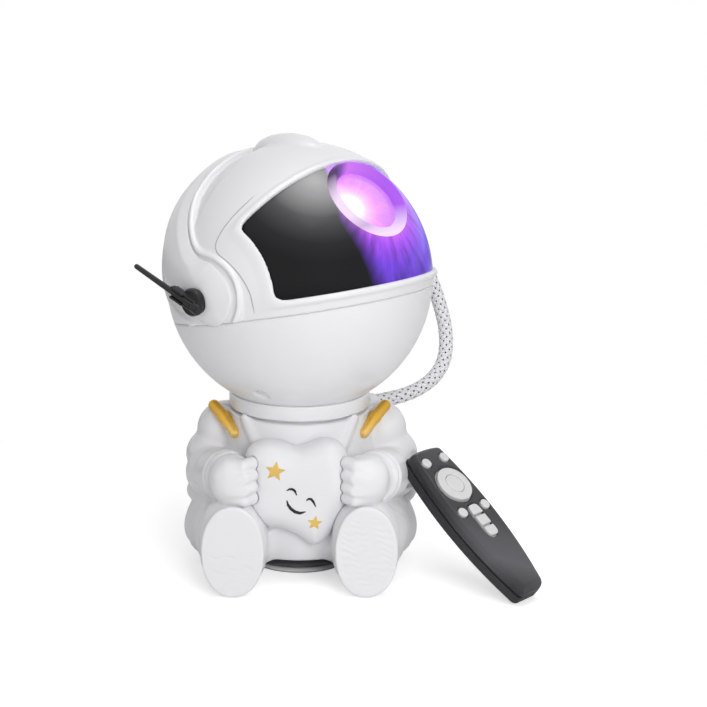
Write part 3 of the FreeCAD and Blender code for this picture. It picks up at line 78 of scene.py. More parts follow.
def lump(centre, radii, turn=None):
    """An ellipsoid, turned by a 3x3 matrix whose columns are its axes."""
    centre, radii = np.float32(centre), np.float32(radii)

    def field(p):
        q = p - centre
        if turn is not None:
            q = q @ np.float32(turn)
        scaled = norm(q / radii)
        return scaled * (scaled - 1) / np.maximum(norm(q / radii**2), 1e-6)

    return field


def limb(start, end, start_radius, end_radius, fold=None):
    """A capsule whose radius changes evenly along it, and by fold(share of the length) on top."""
    start, end = np.float32(start), np.float32(end)
    along = end - start
    length = float(along @ along)

    def field(p):
        share = np.clip((p - start) @ along / length, 0, 1)
        radius = start_radius + (end_radius - start_radius) * share
        if fold:
            radius = radius + fold(share)
        return norm(p - start - share[:, None] * along) - radius

    return field


def rod(radius, axis="z", at=(0, 0), reach=30):
    """A round bar along a whole axis, past anything it meets."""
    ends = [(s * reach, *at) if axis == "x" else (*at, s * reach) for s in (-1, 1)]
    return limb(*ends, radius, radius)


def path(points, radius, soft=0):
    """A bent bar, or in a plane a stroke, through some points, with one radius or one for each point."""
    radii = np.broadcast_to(np.float32(radius), len(points))
    return join(soft, *(limb(*part) for part in zip(points, points[1:], radii, radii[1:])))


def box(centre, half, soft=0.0):
    centre, half = np.float32(centre), np.float32(half)

    def field(p):
        q = np.abs(p - centre) - (half - soft)
        return norm(np.maximum(q, 0)) + np.minimum(q.max(1), 0) - soft

    return field


def half_space(normal, offset):
    """Inside where the point's share along normal is under offset."""
    normal = np.float32(normal) / np.linalg.norm(normal)
    return lambda p: p @ normal - offset


def smooth_min(a, b, soft):
    if soft <= 0:
        return np.minimum(a, b)
    mix = np.maximum(soft - np.abs(a - b), 0)
    return np.minimum(a, b) - mix * mix / (4 * soft)


def smooth_max(a, b, soft):
    return -smooth_min(-a, -b, soft)


def merged(soft, fields, first=1, others=1):
    def field(p):
        found = first * fields[0](p)
        for other in fields[1:]:
            found = smooth_min(found, others * other(p), soft)
        return first * found

    return field


def join(soft, *fields):
    return merged(soft, fields)


def cut(soft, *base_and_tools):
    return merged(soft, base_and_tools, -1)


def meet(soft, *fields):
    return merged(soft, fields, -1, -1)


def grown(base, amount):
    return lambda p: base(p) - amount


def outline_distance(points):
    """The distance from a flat closed outline, less than 0 inside, for points (n, 2)."""
    corners = np.float32(points)

    def field(q):
        nearest = np.full(len(q), 1e9, np.float32)
        sign = np.ones(len(q), np.float32)
        for a, b in zip(corners, np.roll(corners, -1, 0)):
            edge, to = b - a, q - a
            share = np.clip(to @ edge / float(edge @ edge), 0, 1)
            nearest = np.minimum(nearest, norm(to - share[:, None] * edge))
            above, below = q[:, 1] >= a[1], q[:, 1] < b[1]
            left = edge[0] * to[:, 1] > edge[1] * to[:, 0]
            swap = (above & below & left) | (~above & ~below & ~left)
            sign = np.where(swap, -sign, sign)
        return sign * nearest

    return field


# Meshing


def part_of(values, first, shape):
    return values[tuple(slice(s, s + n) for s, n in zip(first, shape))]


def spread_out(blocks, size):
    for axis in range(3):
        blocks = blocks.repeat(size, axis)
    return blocks


def surface(field, low, high, cell):
    """The zero surface of a field as points and four-sided faces: surface nets, pulled onto the field."""
    block = 4
    low = np.float32(low)
    counts = [block * math.ceil((b - a) / cell / block) for a, b in zip(low, high)]
    coarse = [np.arange(0, n + 1, block) for n in counts]
    spots = np.stack(np.meshgrid(*coarse, indexing="ij"), -1).reshape(-1, 3)
    rough = field(np.float32(low + spots * cell)).reshape([len(c) for c in coarse])

    # Only the blocks near the surface are worked out in full
    near = np.abs(rough) < cell * block * 1.8
    hit = np.zeros([n // block for n in counts], bool)
    for first in np.ndindex(2, 2, 2):
        hit |= part_of(near, first, hit.shape)
    values = np.full([n + 1 for n in counts], 1.0, np.float32)
    values[:-1, :-1, :-1] = spread_out(rough[:-1, :-1, :-1], block)
    wanted = np.zeros(values.shape, bool)
    inner = spread_out(hit, block)
    for first in np.ndindex(2, 2, 2):
        part_of(wanted, first, inner.shape)[...] |= inner
    spots = np.argwhere(wanted)
    values[wanted] = field(np.float32(low + spots * cell))

    # One point per crossed cell, at the mean of its crossings
    inside = values < 0
    shape = [n - 1 for n in values.shape]
    total = np.zeros(shape + [3], np.float32)
    crossings = np.zeros(shape, np.float32)
    for axis in range(3):
        for sides in np.ndindex(2, 2):
            first = list(sides)
            first.insert(axis, 0)
            last = list(first)
            last[axis] = 1
            a, b = part_of(values, first, shape), part_of(values, last, shape)
            crossed = (a < 0) != (b < 0)
            place = [crossed * s for s in first]
            place[axis] = np.where(crossed, a / np.where(crossed, a - b, 1), 0)
            total += np.stack(place, -1)
            crossings += crossed
    active = crossings > 0
    number = np.full(shape, -1, np.int64)
    number[active] = np.arange(active.sum())
    points = np.argwhere(active) + total[active] / crossings[active][:, None]

    # One face per crossed edge, between the four cells round it
    faces = []
    for axis in range(3):
        u, v = (axis + 1) % 3, (axis + 2) % 3
        here = [slice(1, -1)] * 3
        here[axis] = slice(0, -1)
        there = list(here)
        there[axis] = slice(1, None)
        a, b = inside[tuple(here)], inside[tuple(there)]
        for rising in (True, False):
            edges = np.argwhere((a & ~b) if rising else (b & ~a)) + 1
            edges[:, axis] -= 1
            ring = []
            for du, dv in ((-1, -1), (0, -1), (0, 0), (-1, 0)):
                cells = edges.copy()
                cells[:, u] += du
                cells[:, v] += dv
                ring.append(number[tuple(cells.T)])
            faces.append(np.stack(ring if rising else ring[::-1], 1))
    points = np.float32(low + points * cell)
    for _ in range(3):
        slope = gradient(field, points, cell * 0.2)
        step = field(points)[:, None] * slope / np.maximum((slope**2).sum(1), 0.2)[:, None]
        points -= np.clip(step, -cell / 2, cell / 2)
    return points, np.concatenate(faces)


def gradient(field, points, reach):
    columns = []
    for axis in range(3):
        shift = np.zeros(3, np.float32)
        shift[axis] = reach
        columns.append((field(points + shift) - field(points - shift)) / (2 * reach))
    return np.stack(columns, 1)


def piece(name, points, faces, material, body=None, place=None, nodes=(), outward=False):
    """A smooth mesh from points in millimetres in the local frame place, which rides on a CAD body."""
    mesh = bpy.data.meshes.new(name)
    mesh.from_pydata((np.float64(points) * MM).tolist(), [], faces)
    mesh.validate()
    if outward:
        build = bmesh.new()
        build.from_mesh(mesh)
        bmesh.ops.recalc_face_normals(build, faces=build.faces)
        build.to_mesh(mesh)
        build.free()
    mesh.shade_smooth()
    if place is not None:
        mesh.transform(place)
    mesh.materials.append(material)
    item = placed(name, mesh)
    if body:
        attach(item, body)
    if nodes:
        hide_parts(*nodes)
    return item


def placed(name, data):
    item = bpy.data.objects.new(name, data)
    bpy.context.scene.collection.objects.link(item)
    return item


def sculpt(name, field, low, high, material, body, place=None, cell=CELL, nodes=()):
    """A piece meshed from a distance field, which stands for some CAD nodes."""
    points, faces = surface(field, low, high, cell)
    return piece(name, points, faces.tolist(), material, body, place, nodes)


def white(name, field, low, high, body, place, cell, *nodes):
    return sculpt(name, field, low, high, WHITE_SHELL, body, place, cell, nodes)


def chaikin(points, rounds=2):
    """Cuts the corners of a closed outline until it is smooth."""
    points = np.float64(points)
    for _ in range(rounds):
        ahead = np.roll(points, -1, 0)
        points = np.stack([points * 0.75 + ahead * 0.25, points * 0.25 + ahead * 0.75], 1).reshape(-1, 2)
    return points


def soft_corners(profile, radius, steps=5):
    """A closed profile of (radius, height) points with every corner but the first rounded."""
    profile = np.float64(profile)
    out = [profile[0]]
    for a, b, c in zip(profile, profile[1:], [*profile[2:], profile[0]]):
        back, ahead = np.linalg.norm(a - b), np.linalg.norm(c - b)
        trim = min(radius, back * 0.45, ahead * 0.45)
        first, last = b + (a - b) / back * trim, b + (c - b) / ahead * trim
        out += [(1 - t) ** 2 * first + 2 * t * (1 - t) * b + t**2 * last for t in np.linspace(0, 1, steps)]
    return out


def grid_faces(rows, columns, closed=(False, True)):
    """Four-sided faces over a grid of points that is open or closed along its rows and columns."""
    spans = [np.arange(n if shut else n - 1) for n, shut in zip((rows, columns), closed)]
    i, j = np.meshgrid(*spans, indexing="ij")
    here, there, up = i * columns, (i + 1) % rows * columns, (j + 1) % columns
    return np.stack([here + j, here + up, there + up, there + j], -1).reshape(-1, 4)


def lathe(name, profile, material, body, place=None, steps=96, nodes=()):
    """A closed body turned about Z, from a profile that is a closed loop or starts and ends on the axis."""
    profile = np.float64(profile)
    on_axis = profile[0][0] < 1e-6 and profile[-1][0] < 1e-6
    angles = np.linspace(0, 2 * math.pi, steps, endpoint=False)
    ring = profile[1:-1] if on_axis else profile
    points = np.stack([
        ring[:, 0][None, :] * np.cos(angles)[:, None],
        ring[:, 0][None, :] * np.sin(angles)[:, None],
        np.broadcast_to(ring[:, 1], (steps, len(ring))),
    ], -1).reshape(-1, 3)
    n = len(ring)
    faces = grid_faces(steps, n, (True, not on_axis)).tolist()
    if on_axis:
        low = len(points)
        points = np.concatenate([points, [[0, 0, profile[0][1]], [0, 0, profile[-1][1]]]])
        pairs = [(a * n, (a + 1) % steps * n) for a in range(steps)]
        faces += [(a, low, b) for a, b in pairs]
        faces += [(b + n - 1, low + 1, a + n - 1) for a, b in pairs]
    return piece(name, points, faces, material, body, place, nodes, outward=True)


# Materials


def wire(tree, item, *inputs, **values):
    """Gives a node its inputs, by number or name and each a socket or a constant, and its properties."""
    for key, value in [*values.items(), *enumerate(inputs)]:
        socket = key if isinstance(key, int) else key.replace("_", " ")
        if isinstance(value, bpy.types.NodeSocket):
            tree.links.new(value, item.inputs[socket])
        elif isinstance(key, int) or socket in item.inputs:
            item.inputs[socket].default_value = value
        else:
            setattr(item, key, value)
    return item


def add_node(tree, kind, *inputs, **values):
    return wire(tree, tree.nodes.new(f"ShaderNode{kind}"), *inputs, **values)


class Look:
    """A Principled material in the making, whose grain follows the object's own coordinates."""

    def __init__(self, name, colour, roughness, **sockets):
        self.material = bpy.data.materials.new(name)
        self.material.use_nodes = True
        self.tree = self.material.node_tree
        self.shader = self.tree.nodes["Principled BSDF"]
        self.feed(Base_Color=(*colour, 1), Roughness=roughness, **sockets)
        self.where = self.node("TexCoord").outputs["Object"]

    def feed(self, **sockets):
        wire(self.tree, self.shader, **sockets)
        return self.material

    def node(self, kind, *inputs, **values):
        return add_node(self.tree, kind, *inputs, **values)

    def maths(self, operation, *inputs):
        return self.node("Math", *inputs, operation=operation).outputs[0]

    def noise(self, scale, detail=3, rough=0.55, stretch=None, where=None):
        where = self.where if where is None else where
        if stretch:
            where = self.node("Mapping", where, Scale=stretch).outputs[0]
        return self.node("TexNoise", Vector=where, Scale=scale, Detail=detail, Roughness=rough).outputs["Fac"]

    def ramp(self, source, *stops):
        item = self.node("ValToRGB", source)
        elements = item.color_ramp.elements
        elements.remove(elements[1])
        for index, (at, colour) in enumerate(stops):
            stop = elements.new(at) if index else elements[0]
            stop.position = at
            stop.color = (*colour, 1)
        return item.outputs["Color"]

    def spread(self, source, low, high, start=0.3, end=0.7):
        """The source's way from start to end, taken to the way from low to high."""
        return self.node("MapRange", source, start, end, low, high).outputs["Result"]

    def bump(self, source, depth, strength=0.5):
        item = self.node("Bump", Height=source, Distance=depth, Strength=strength)
        return self.feed(Normal=item.outputs["Normal"])

    def height(self):
        """How high the surface point lies, in metres."""
        return self.node("SeparateXYZ", self.where).outputs["Z"]

    def distance(self, spot):
        """How far the surface point lies from a spot, in metres."""
        return self.node("VectorMath", self.where, spot, operation="DISTANCE").outputs["Value"]

    def local(self, place):
        """The surface point in a place's own frame, in metres, as three sockets."""
        home = place.inverted()
        local = self.node("Mapping", self.where, Location=home.to_translation(), Rotation=home.to_euler())
        return self.node("SeparateXYZ", local.outputs[0]).outputs

    def total(self, start, *terms):
        """start plus each socket times its factor."""
        for socket, factor in terms:
            start = self.maths("MULTIPLY_ADD", socket, factor, start)
        return start

    def streaks(self, spot, low, high):
        """Rays that fan out from a spot, as a factor."""
        away = self.node("VectorMath", self.where, spot, operation="SUBTRACT").outputs[0]
        unit = self.node("VectorMath", away, operation="NORMALIZE").outputs[0]
        return self.spread(self.noise(7, 3, 0.6, where=unit), low, high, 0.35, 0.65)


def shade(colour, factor):
    return tuple(min(1.0, c * factor) for c in colour)


def moulded(name, colour, roughness, grain=900, depth=0.00002, vary=0.03, **sockets):
    """Moulded plastic: faint flow marks in its colour, an uneven gloss and a very fine grain."""
    look = Look(name, colour, roughness, **sockets)
    flow = look.ramp(look.noise(22, 1), (0, shade(colour, 1 - vary)), (1, shade(colour, 1 + vary)))
    gloss = look.spread(look.noise(60, 2), roughness * 0.9, roughness * 1.12, 0, 1)
    look.feed(Base_Color=flow, Roughness=gloss)
    return look.bump(look.noise(grain, 2), depth, 0.25)


def metal(name, colour, roughness, stretch=None):
    look = Look(name, colour, roughness, Metallic=1.0)
    grain = look.noise(500, 4, 0.6, stretch)
    tint = look.ramp(look.noise(90), (0.35, shade(colour, 0.9)), (0.65, shade(colour, 1.05)))
    look.feed(Base_Color=tint, Roughness=look.spread(grain, roughness * 0.7, roughness * 1.4))
    return look.bump(grain, 0.00003, 0.3)


WHITE_SHELL = moulded("white_gloss", (0.80, 0.80, 0.82), 0.3, vary=0.015, Coat_Weight=0.25,
                      Coat_Roughness=0.12, Subsurface_Weight=0.06, Subsurface_Radius=(0.004, 0.003, 0.003),
                      Subsurface_Scale=1.0)
BLACK = moulded("black_gloss", (0.009, 0.009, 0.010), 0.3, vary=0.2, Specular_IOR_Level=0.35)
DARK = moulded("dark_satin", (0.03, 0.03, 0.033), 0.5, 1500, 0.00003, 0.1)
INK = moulded("black_paint", (0.012, 0.012, 0.014), 0.38, vary=0.1)
GOLD_PRINT = moulded("gold_print", (0.78, 0.52, 0.13), 0.42, 1200, 0.00003, 0.1, Metallic=0.25)
STEEL = metal("plain_steel", (0.55, 0.56, 0.58), 0.32)
ALUMINIUM = metal("milled_aluminium", (0.74, 0.75, 0.77), 0.36, (1, 14, 1))
KEY = moulded("silicone_key", (0.66, 0.66, 0.66), 0.5, 1300, 0.00004, 0.05)
GEAR = moulded("acetal", (0.72, 0.72, 0.66), 0.42, 1000, 0.00003, 0.04)
REMOTE_BASE = moulded("remote_side", (0.03, 0.03, 0.034), 0.42, 1600, 0.00005, 0.12, Specular_IOR_Level=0.35)
# Grey for the line of painted shade at the visor frame's joint, and the base pad's own grey
LINE = moulded("joint_line", (0.40, 0.40, 0.42), 0.6, 900, 0.00002, 0.05)
CABLE = moulded("cable_jacket", (0.32, 0.32, 0.34), 0.55, 900, 0.00004, 0.06)


def braid_material():
    look = Look("white_braid", (0.76, 0.76, 0.78), 0.55, Sheen_Weight=0.2)
    fibre = look.noise(2600, 3, 0.6, (1, 1, 0.25))
    look.feed(Base_Color=look.ramp(fibre, (0.3, (0.66, 0.66, 0.69)), (0.7, (0.82, 0.82, 0.84))))
    return look.bump(fibre, 0.00008)


def board_material():
    look = Look("circuit_board", (0.02, 0.13, 0.06), 0.42)
    tracks = look.node("TexBrick", look.where, Scale=260, Mortar_Size=0.03, Color1=(0.015, 0.10, 0.045, 1),
                       Color2=(0.02, 0.13, 0.06, 1), Mortar=(0.30, 0.24, 0.06, 1)).outputs
    look.feed(Base_Color=tracks["Color"])
    return look.bump(tracks["Fac"], 0.00005, 0.4)


def film_material():
    look = Look("printed_film", (0.3, 0.1, 0.6), 0.2)
    cloud = look.noise(70, 5, 0.65)
    look.feed(Base_Color=look.ramp(
        cloud, (0.3, (0.02, 0.03, 0.25)), (0.5, (0.35, 0.05, 0.55)), (0.7, (0.05, 0.45, 0.75))))
    return look.bump(look.noise(700), 0.00002, 0.2)


# Where things are


def turn(degrees, axis):
    return Matrix.Rotation(math.radians(degrees), 4, axis)


def shift(x=0.0, y=0.0, z=0.0):
    return Matrix.Translation(Vector((x, y, z)) * MM)


HELMET = shift(z=149.0) @ turn(47.2, "Z") @ turn(-11.5, "X")
BEAM = HELMET @ turn(56, "X")
ANTENNA = HELMET @ shift(x=-CUP_SIDE) @ turn(31 - 90, "X") @ turn(-90, "Y")
HOSE_EAR = HELMET @ shift(x=CUP_SIDE) @ turn(90, "Y")
REMOTE = shift(110.8, -63.6, 0) @ turn(47, "Z") @ turn(38, "X")


# The middle of the lens, its brightest point, and the middle of the sheen painted on the visor, in metres
LENS_SPOT = HELMET @ Vector((0, -0.0563, 0.038))
HOT_SPOT = HELMET @ Vector((-0.016, -0.0555, 0.034))
PAINTED_SHEEN_SPOT = HELMET @ Vector((-0.022, -0.041, 0.049))


def remote_material():
    """Charcoal satin with a painted sheen: paler where the face curves towards the tail."""
    look = Look("remote_satin", (0.03, 0.03, 0.034), 0.36, Specular_IOR_Level=0.4)
    x, y, _ = look.local(REMOTE)
    # Painted sheen: the colour is paler on the face near the tail and darker further along
    look.feed(Base_Color=look.ramp(
        look.spread(look.total(0, (y, 1), (x, 0.7)), 0, 1, 0, 0.092),
        (0, (0.030, 0.030, 0.034)), (0.16, (0.085, 0.084, 0.094)), (0.34, (0.062, 0.061, 0.068)),
        (0.52, (0.026, 0.026, 0.029)), (0.80, (0.022, 0.022, 0.025)), (1, (0.05, 0.05, 0.055))))
    return look.bump(look.noise(1600, 2), 0.00005, 0.25)


def gold_material():
    """Gold-coloured paint with a painted sheen: deeper on the shoulder and paler towards the chest."""
    look = Look("gold_paint", (0.7, 0.4, 0.05), 0.26, Metallic=0.55)
    # Painted sheen: the gold pales from the top of the piping down towards the chest
    look.feed(Base_Color=look.ramp(
        look.spread(look.height(), 0, 1, 0.073, 0.088),
        (0, (0.88, 0.60, 0.20)), (0.45, (0.80, 0.46, 0.06)), (1, (0.56, 0.30, 0.02))))
    return look.bump(look.noise(1400, 2), 0.00001, 0.2)


def seat_shadow_material():
    """Painted shadow for the seat's recess and the base plate: pale at the floor and dark towards the top."""
    look = Look("seat_painted_shadow", (0.5, 0.5, 0.5), 0.6, Specular_IOR_Level=0.1)
    look.feed(Base_Color=look.ramp(
        look.spread(look.height(), 0, 1, 0, 0.010),
        (0, (0.76, 0.76, 0.77)), (0.16, (0.62, 0.62, 0.63)), (0.32, (0.30, 0.30, 0.31)),
        (0.45, (0.11, 0.11, 0.115)), (0.60, (0.045, 0.045, 0.047)), (1, (0.03, 0.03, 0.032))))
    return look.bump(look.noise(900, 2), 0.00002, 0.2)


def visor_material():
    """Smoked acrylic: near black at one side with a painted sheen near its top, and a painted violet and pink
    glow from the beam at the other.
    """
    look = Look("visor_smoked", (0.010, 0.010, 0.012), 0.2, Specular_IOR_Level=0.16)
    x, _, z = look.local(HELMET)
    # A painted sheen: grey round a spot near the visor's top, fading to near black
    sheen = look.ramp(
        look.spread(look.distance(PAINTED_SHEEN_SPOT), 0, 1, 0.002, 0.044),
        (0, (0.40, 0.40, 0.405)), (0.22, (0.27, 0.27, 0.275)), (0.5, (0.07, 0.071, 0.073)),
        (0.8, (0.016, 0.016, 0.018)), (1, (0.007, 0.007, 0.008)))
    # A painted glow from the beam: violet emission, brightest round the lens and broken into rays
    violet = look.ramp(
        look.spread(look.distance(LENS_SPOT), 0, 1, 0.020, 0.062),
        (0, (0.62, 0.13, 0.88)), (0.16, (0.36, 0.075, 0.84)), (0.4, (0.17, 0.05, 0.72)),
        (0.7, (0.11, 0.04, 0.52)), (1, (0.06, 0.03, 0.30)))
    lower = look.spread(look.total(0.0185, (x, 1), (z, 0.21)), 0, 1, -0.0015, 0.009)
    upper = look.spread(look.total(0.0405, (x, 1), (z, -0.52)), 0, 1, -0.0006, 0.0016)
    wedge = look.maths("MULTIPLY", lower, upper)
    look.feed(Base_Color=sheen, Roughness=look.spread(look.noise(70, 2), 0.17, 0.24, 0, 1),
              Emission_Color=violet,
              Emission_Strength=look.maths("MULTIPLY", wedge, look.streaks(LENS_SPOT, 0.7, 1.25)))
    return look.bump(look.noise(40, 2), 0.00002, 0.12)


def lens_material():
    look = Look("lens_lit", (0.3, 0.2, 0.4), 0.12, Specular_IOR_Level=0.2)
    far = look.spread(look.distance(HOT_SPOT), 0, 1, 0.003, 0.036)
    colour = look.ramp(far, (0, (1, 1, 1)), (0.10, (1.0, 0.90, 1.0)), (0.2, (0.96, 0.48, 0.95)),
                       (0.38, (0.76, 0.20, 0.88)), (0.65, (0.52, 0.10, 0.84)), (1, (0.26, 0.06, 0.80)))
    fade = look.spread(far, 1.15, 0.85, 0, 0.3)
    look.feed(Emission_Color=colour,
              Emission_Strength=look.maths("MULTIPLY", fade, look.streaks(HOT_SPOT, 0.85, 1.12)))
    return look.bump(look.noise(60, 2), 0.00001, 0.1)


def bezel_material():
    """The lens's ring, with a painted glow: violet light round it, and white near the brightest point and at
    its foot.
    """
    look = Look("lens_ring", (0.05, 0.03, 0.07), 0.5, Specular_IOR_Level=0.05)
    x, _, z = look.local(HELMET)
    sides = look.ramp(look.spread(look.total(0.0135, (x, 1), (z, -0.35)), 0, 1, -0.016, 0.016),
                      (0, (0.05, 0.03, 0.09)), (0.16, (0.20, 0.07, 0.40)), (0.34, (0.62, 0.18, 0.88)),
                      (1, (0.42, 0.10, 0.86)))
    foot = look.spread(look.total(0, (z, -1)), 0, 1, -0.031, -0.019)
    hot = look.spread(look.distance(HOT_SPOT), 1, 0, 0.007, 0.019)
    mix = look.node("Mix", look.maths("MAXIMUM", foot, hot), data_type="RGBA")
    look.tree.links.new(sides, mix.inputs[6])
    mix.inputs[7].default_value = (0.95, 0.78, 0.98, 1)
    look.feed(Emission_Color=mix.outputs[2], Emission_Strength=0.95)
    return look.bump(look.noise(900, 2), 0.00002, 0.2)


BRAID = braid_material()
BOARD = board_material()
FILM = film_material()
REMOTE_SHELL = remote_material()
SEAT_SHADOW = seat_shadow_material()
GOLD = gold_material()
VISOR = visor_material()
LENS = lens_material()
BEZEL = bezel_material()


# Helmet

SLANT = math.radians(48)  # the slope of the window's upper edge
LINE_STEPS = 90


def window(half_width, sill, brow, soft=5.0):
    """A prism across the helmet: above its sill, below its slanted brow, and as wide as twice the half."""

    def field(p):
        forward, up, across = -p[:, 1], p[:, 2], np.abs(p[:, 0])
        over = (up - brow) * math.cos(SLANT) - forward * math.sin(SLANT)
        return smooth_max(smooth_max(across - half_width, sill - up, soft), over, soft)

    return field


VISOR_WINDOW = window(57.8, -4.6, 9.6)
STRAP = chaikin([(4, -9), (-18, -7), (-31, 6), (-37, 27.5), (-41, 44), (-40, 90), (-19, 90), (-19.5, 52),
                 (-17, 44.5), (-11, 33), (-5, 24.5), (2, 19), (10, 15)])


def band_area(grow, cup_radius, soft=5.0):
    strap = outline_distance(STRAP)
    cup = np.float32([4.3, 1.2])

    def field(p):
        side = np.stack([-p[:, 1], p[:, 2]], 1)
        return smooth_min(strap(side) - grow, norm(side - cup) - cup_radius, soft)

    return field


def hood_lift(height):
    """How far the hood's skin stands out in front of the headband; it thins out towards the seam."""
    rise = np.clip((height - SEAM_HEIGHT - 0.5) / 9, 0, 1)
    return 0.3 + 1.7 * rise * rise * (3 - 2 * rise)


def make_frame_line():
    """A fine grey line of painted shade in the groove at the joint round the visor's frame, on both sides of
    the hood.
    """
    side = np.float64([(24.5, 46.5), (19, 40.3), (14.5, 35), (11, 29.5), (9.4, 25.5), (11, 21.3), (15, 18.9),
                       (20, 14.9), (25, 8.6), (28, 1.5), (28.4, -3.5), (26.6, -10.8)])
    at = np.linspace(0, len(side) - 1, LINE_STEPS)
    line = np.stack([np.interp(at, np.arange(len(side)), column) for column in side.T], 1)
    for _ in range(24):
        line[1:-1] = (line[:-2] + 2 * line[1:-1] + line[2:]) / 4
    radius = HELMET_RADIUS + hood_lift(line[:, 1]) - 0.02
    across = np.sqrt(radius**2 - (line**2).sum(1))
    all_points, all_faces = [], []
    for sign in (-1, 1):
        at, *course = frames_along(np.stack([sign * across, -line[:, 0], line[:, 1]], 1), LINE_STEPS)
        thick = 0.27 * np.clip(np.minimum(at, at[-1] - at) / 6, 0.06, 1)
        points, faces = tube(*course, thick, 8)
        all_faces.append(faces + len(points) * len(all_faces))
        all_points.append(points)
    piece("frame_joint_shade_line", np.concatenate(all_points), np.concatenate(all_faces).tolist(), LINE, "helmet",
          HELMET)


def globe(extra):
    """A ball round the helmet's middle."""
    return ball((0, 0, 0), HELMET_RADIUS + extra)


def bead(area, inset, height, radius):
    """A round bead that follows an area's edge at a height over the helmet."""
    return lambda p: np.hypot(area(p) + inset, norm(p) - HELMET_RADIUS - height) - radius


def make_helmet():
    step_area, cup_area = band_area(3.4, 19.9, 6), band_area(0, 14.5, 7)
    skin, hollow = globe(0), globe(-HELMET_WALL)
    fine = CELL * 0.85
    hood_low, hood_high = (-75, -75, -14), (75, 75, 79)

    def raised(p):
        """The hood's skin in front of the headband."""
        ahead = p[:, 1] + (p[:, 2] * 0.2 - 16)
        return smooth_max(norm(p) - (HELMET_RADIUS + hood_lift(p[:, 2])), ahead, 3)

    step = meet(1.0, globe(2.1), step_area)
    rim = bead(step_area, 1.3, 2.5, 1.2)
    frame_bead = bead(VISOR_WINDOW, -1.9, 1.0, 1.55)
    lean = Matrix.Rotation(math.radians(8), 3, "X")
    crest = lump(lean @ Vector((0, 3, 63.4)), (10.5, 23, 10.2), np.array(lean))

    outside = join(0.9, join(1.2, join(1.6, skin, crest), raised), frame_bead)
    hood = cut(0.5, join(0.7, outside, step, rim), hollow, VISOR_WINDOW)
    hood = cut(0.1, hood, half_space((0, 0, 1), SEAM_HEIGHT + 0.03))
    white("helmet_hood_shell", hood, hood_low, hood_high, "helmet", HELMET, fine, "helmet_hood")

    sinks = [meet(0.5, limb((s * 42.5, -4, -200), (s * 42.5, -4, 0), 3.3, 3.3),
                  lambda p: HELMET_RADIUS - 1.1 - norm(p)) for s in (-1, 1)]
    bowl = cut(0.5, meet(0.1, skin, half_space((0, 0, 1), SEAM_HEIGHT - 0.03)), hollow, *sinks)
    white("helmet_bowl_shell", bowl, (-70, -70, -70), (70, 70, -10), "helmet", HELMET, CELL * 1.1,
          "helmet_bowl")

    def band_skin(p):
        """The headband's outside: it slopes to its front edge and melts into the head at the lower back."""
        forward, up = -p[:, 1], p[:, 2]
        width = 5.5 + 6.5 * np.clip((17 - up) / 14, 0, 1)
        slope = np.clip(1 + cup_area(p) / width, 0, 1)
        low = np.clip((6 - up) / 18, 0, 1) * np.clip((9 - forward) / 14, 0, 1)
        low = low * np.clip((np.hypot(forward, up) - 7.5) / 6, 0, 1)
        return norm(p) - (72.9 - 2.3 * slope - 2.9 * low)

    band = cut(0.5, meet(0.35, band_skin, cup_area), globe(1.5))
    white("helmet_headband", band, hood_low, hood_high, "helmet", HELMET, fine, "headband")

    beam = np.float32([0, -math.cos(BEAM_RISE), math.sin(BEAM_RISE)])

    def port(p):
        along = p @ beam
        across = norm(p - along[:, None] * beam)
        return np.maximum(across - 21.3, -along)

    visor = cut(0.4, meet(0.3, globe(0.3), grown(VISOR_WINDOW, 0.9)), globe(-4.1), port)
    sculpt("visor_glass", visor, (-62, -70, -8), (62, 62, 70), VISOR, "helmet", HELMET, nodes=["visor"])


def make_lens():
    bezel = soft_corners([(17.2, 59.9), (21.0, 59.9), (21.0, 63.6), (22.7, 63.2), (22.7, 64.1), (21.4, 66.4),
                          (20.5, 67.2), (17.6, 64.4), (17.2, 62.8)], 0.5)
    lathe("lens_trim_ring", bezel, BEZEL, "helmet", BEAM, nodes=["lens_bezel"])
    curve, edge, rim = 34, 17.1, 62.6
    middle = rim - math.sqrt(curve**2 - edge**2)
    dome = [(0, 59.7), (17.0, 59.7), (edge, 60.0), (edge, rim)]
    dome += [(r, middle + math.sqrt(curve**2 - r * r)) for r in (16.6, 15, 13, 10.5, 8, 5.5, 3, 0)]
    lathe("front_lens_glass", dome, LENS, "helmet", BEAM, nodes=["front_lens"])


# Collar and body


def make_collar():
    ring = soft_corners([(28.6, 76.2), (28.6, 83.8), (36.15, 83.8), (36.2, 91.1), (34.7, 91.35), (30.5, 88.9),
                         (20, 84.9), (10.1, 82.3), (10.1, 80.2), (22.1, 80), (22.1, 76.2)], 0.6)
    lathe("neck_collar_ring", ring, WHITE_SHELL, "collar", None, 144, ["neck_collar"])


def puffy(start, end, start_radius, end_radius, count, depth, phase):
    """A sleeve whose cloth gathers into rings along it."""
    return limb(start, end, start_radius, end_radius,
                lambda share: depth * (np.abs(np.sin((share * count + phase) * math.pi)) ** 0.7 - 0.6))


TRUNK = chaikin([(-30, 3.2), (29.5, 3.2), (37, 8), (40.3, 18), (41, 30), (41.6, 46), (41, 60), (39.6, 72),
                 (37.6, 80), (36, 83.4), (-30, 83.4)])


def ring_round(centre, axis, radius, thickness):
    centre, axis = np.float32(centre), np.float32(axis) / np.linalg.norm(axis)

    def field(p):
        along = (p - centre) @ axis
        return np.hypot(norm(p - centre - along[:, None] * axis) - radius, along) - thickness

    return field


APART = 1.2  # moves the arms and the thighs out from where their shapes are given


def both(left, apart=0.0):
    """A shape of the figure's left side, on both sides."""
    return lambda p: left(np.column_stack([np.abs(p[:, 0] - apart), p[:, 1], p[:, 2]]).astype(np.float32))


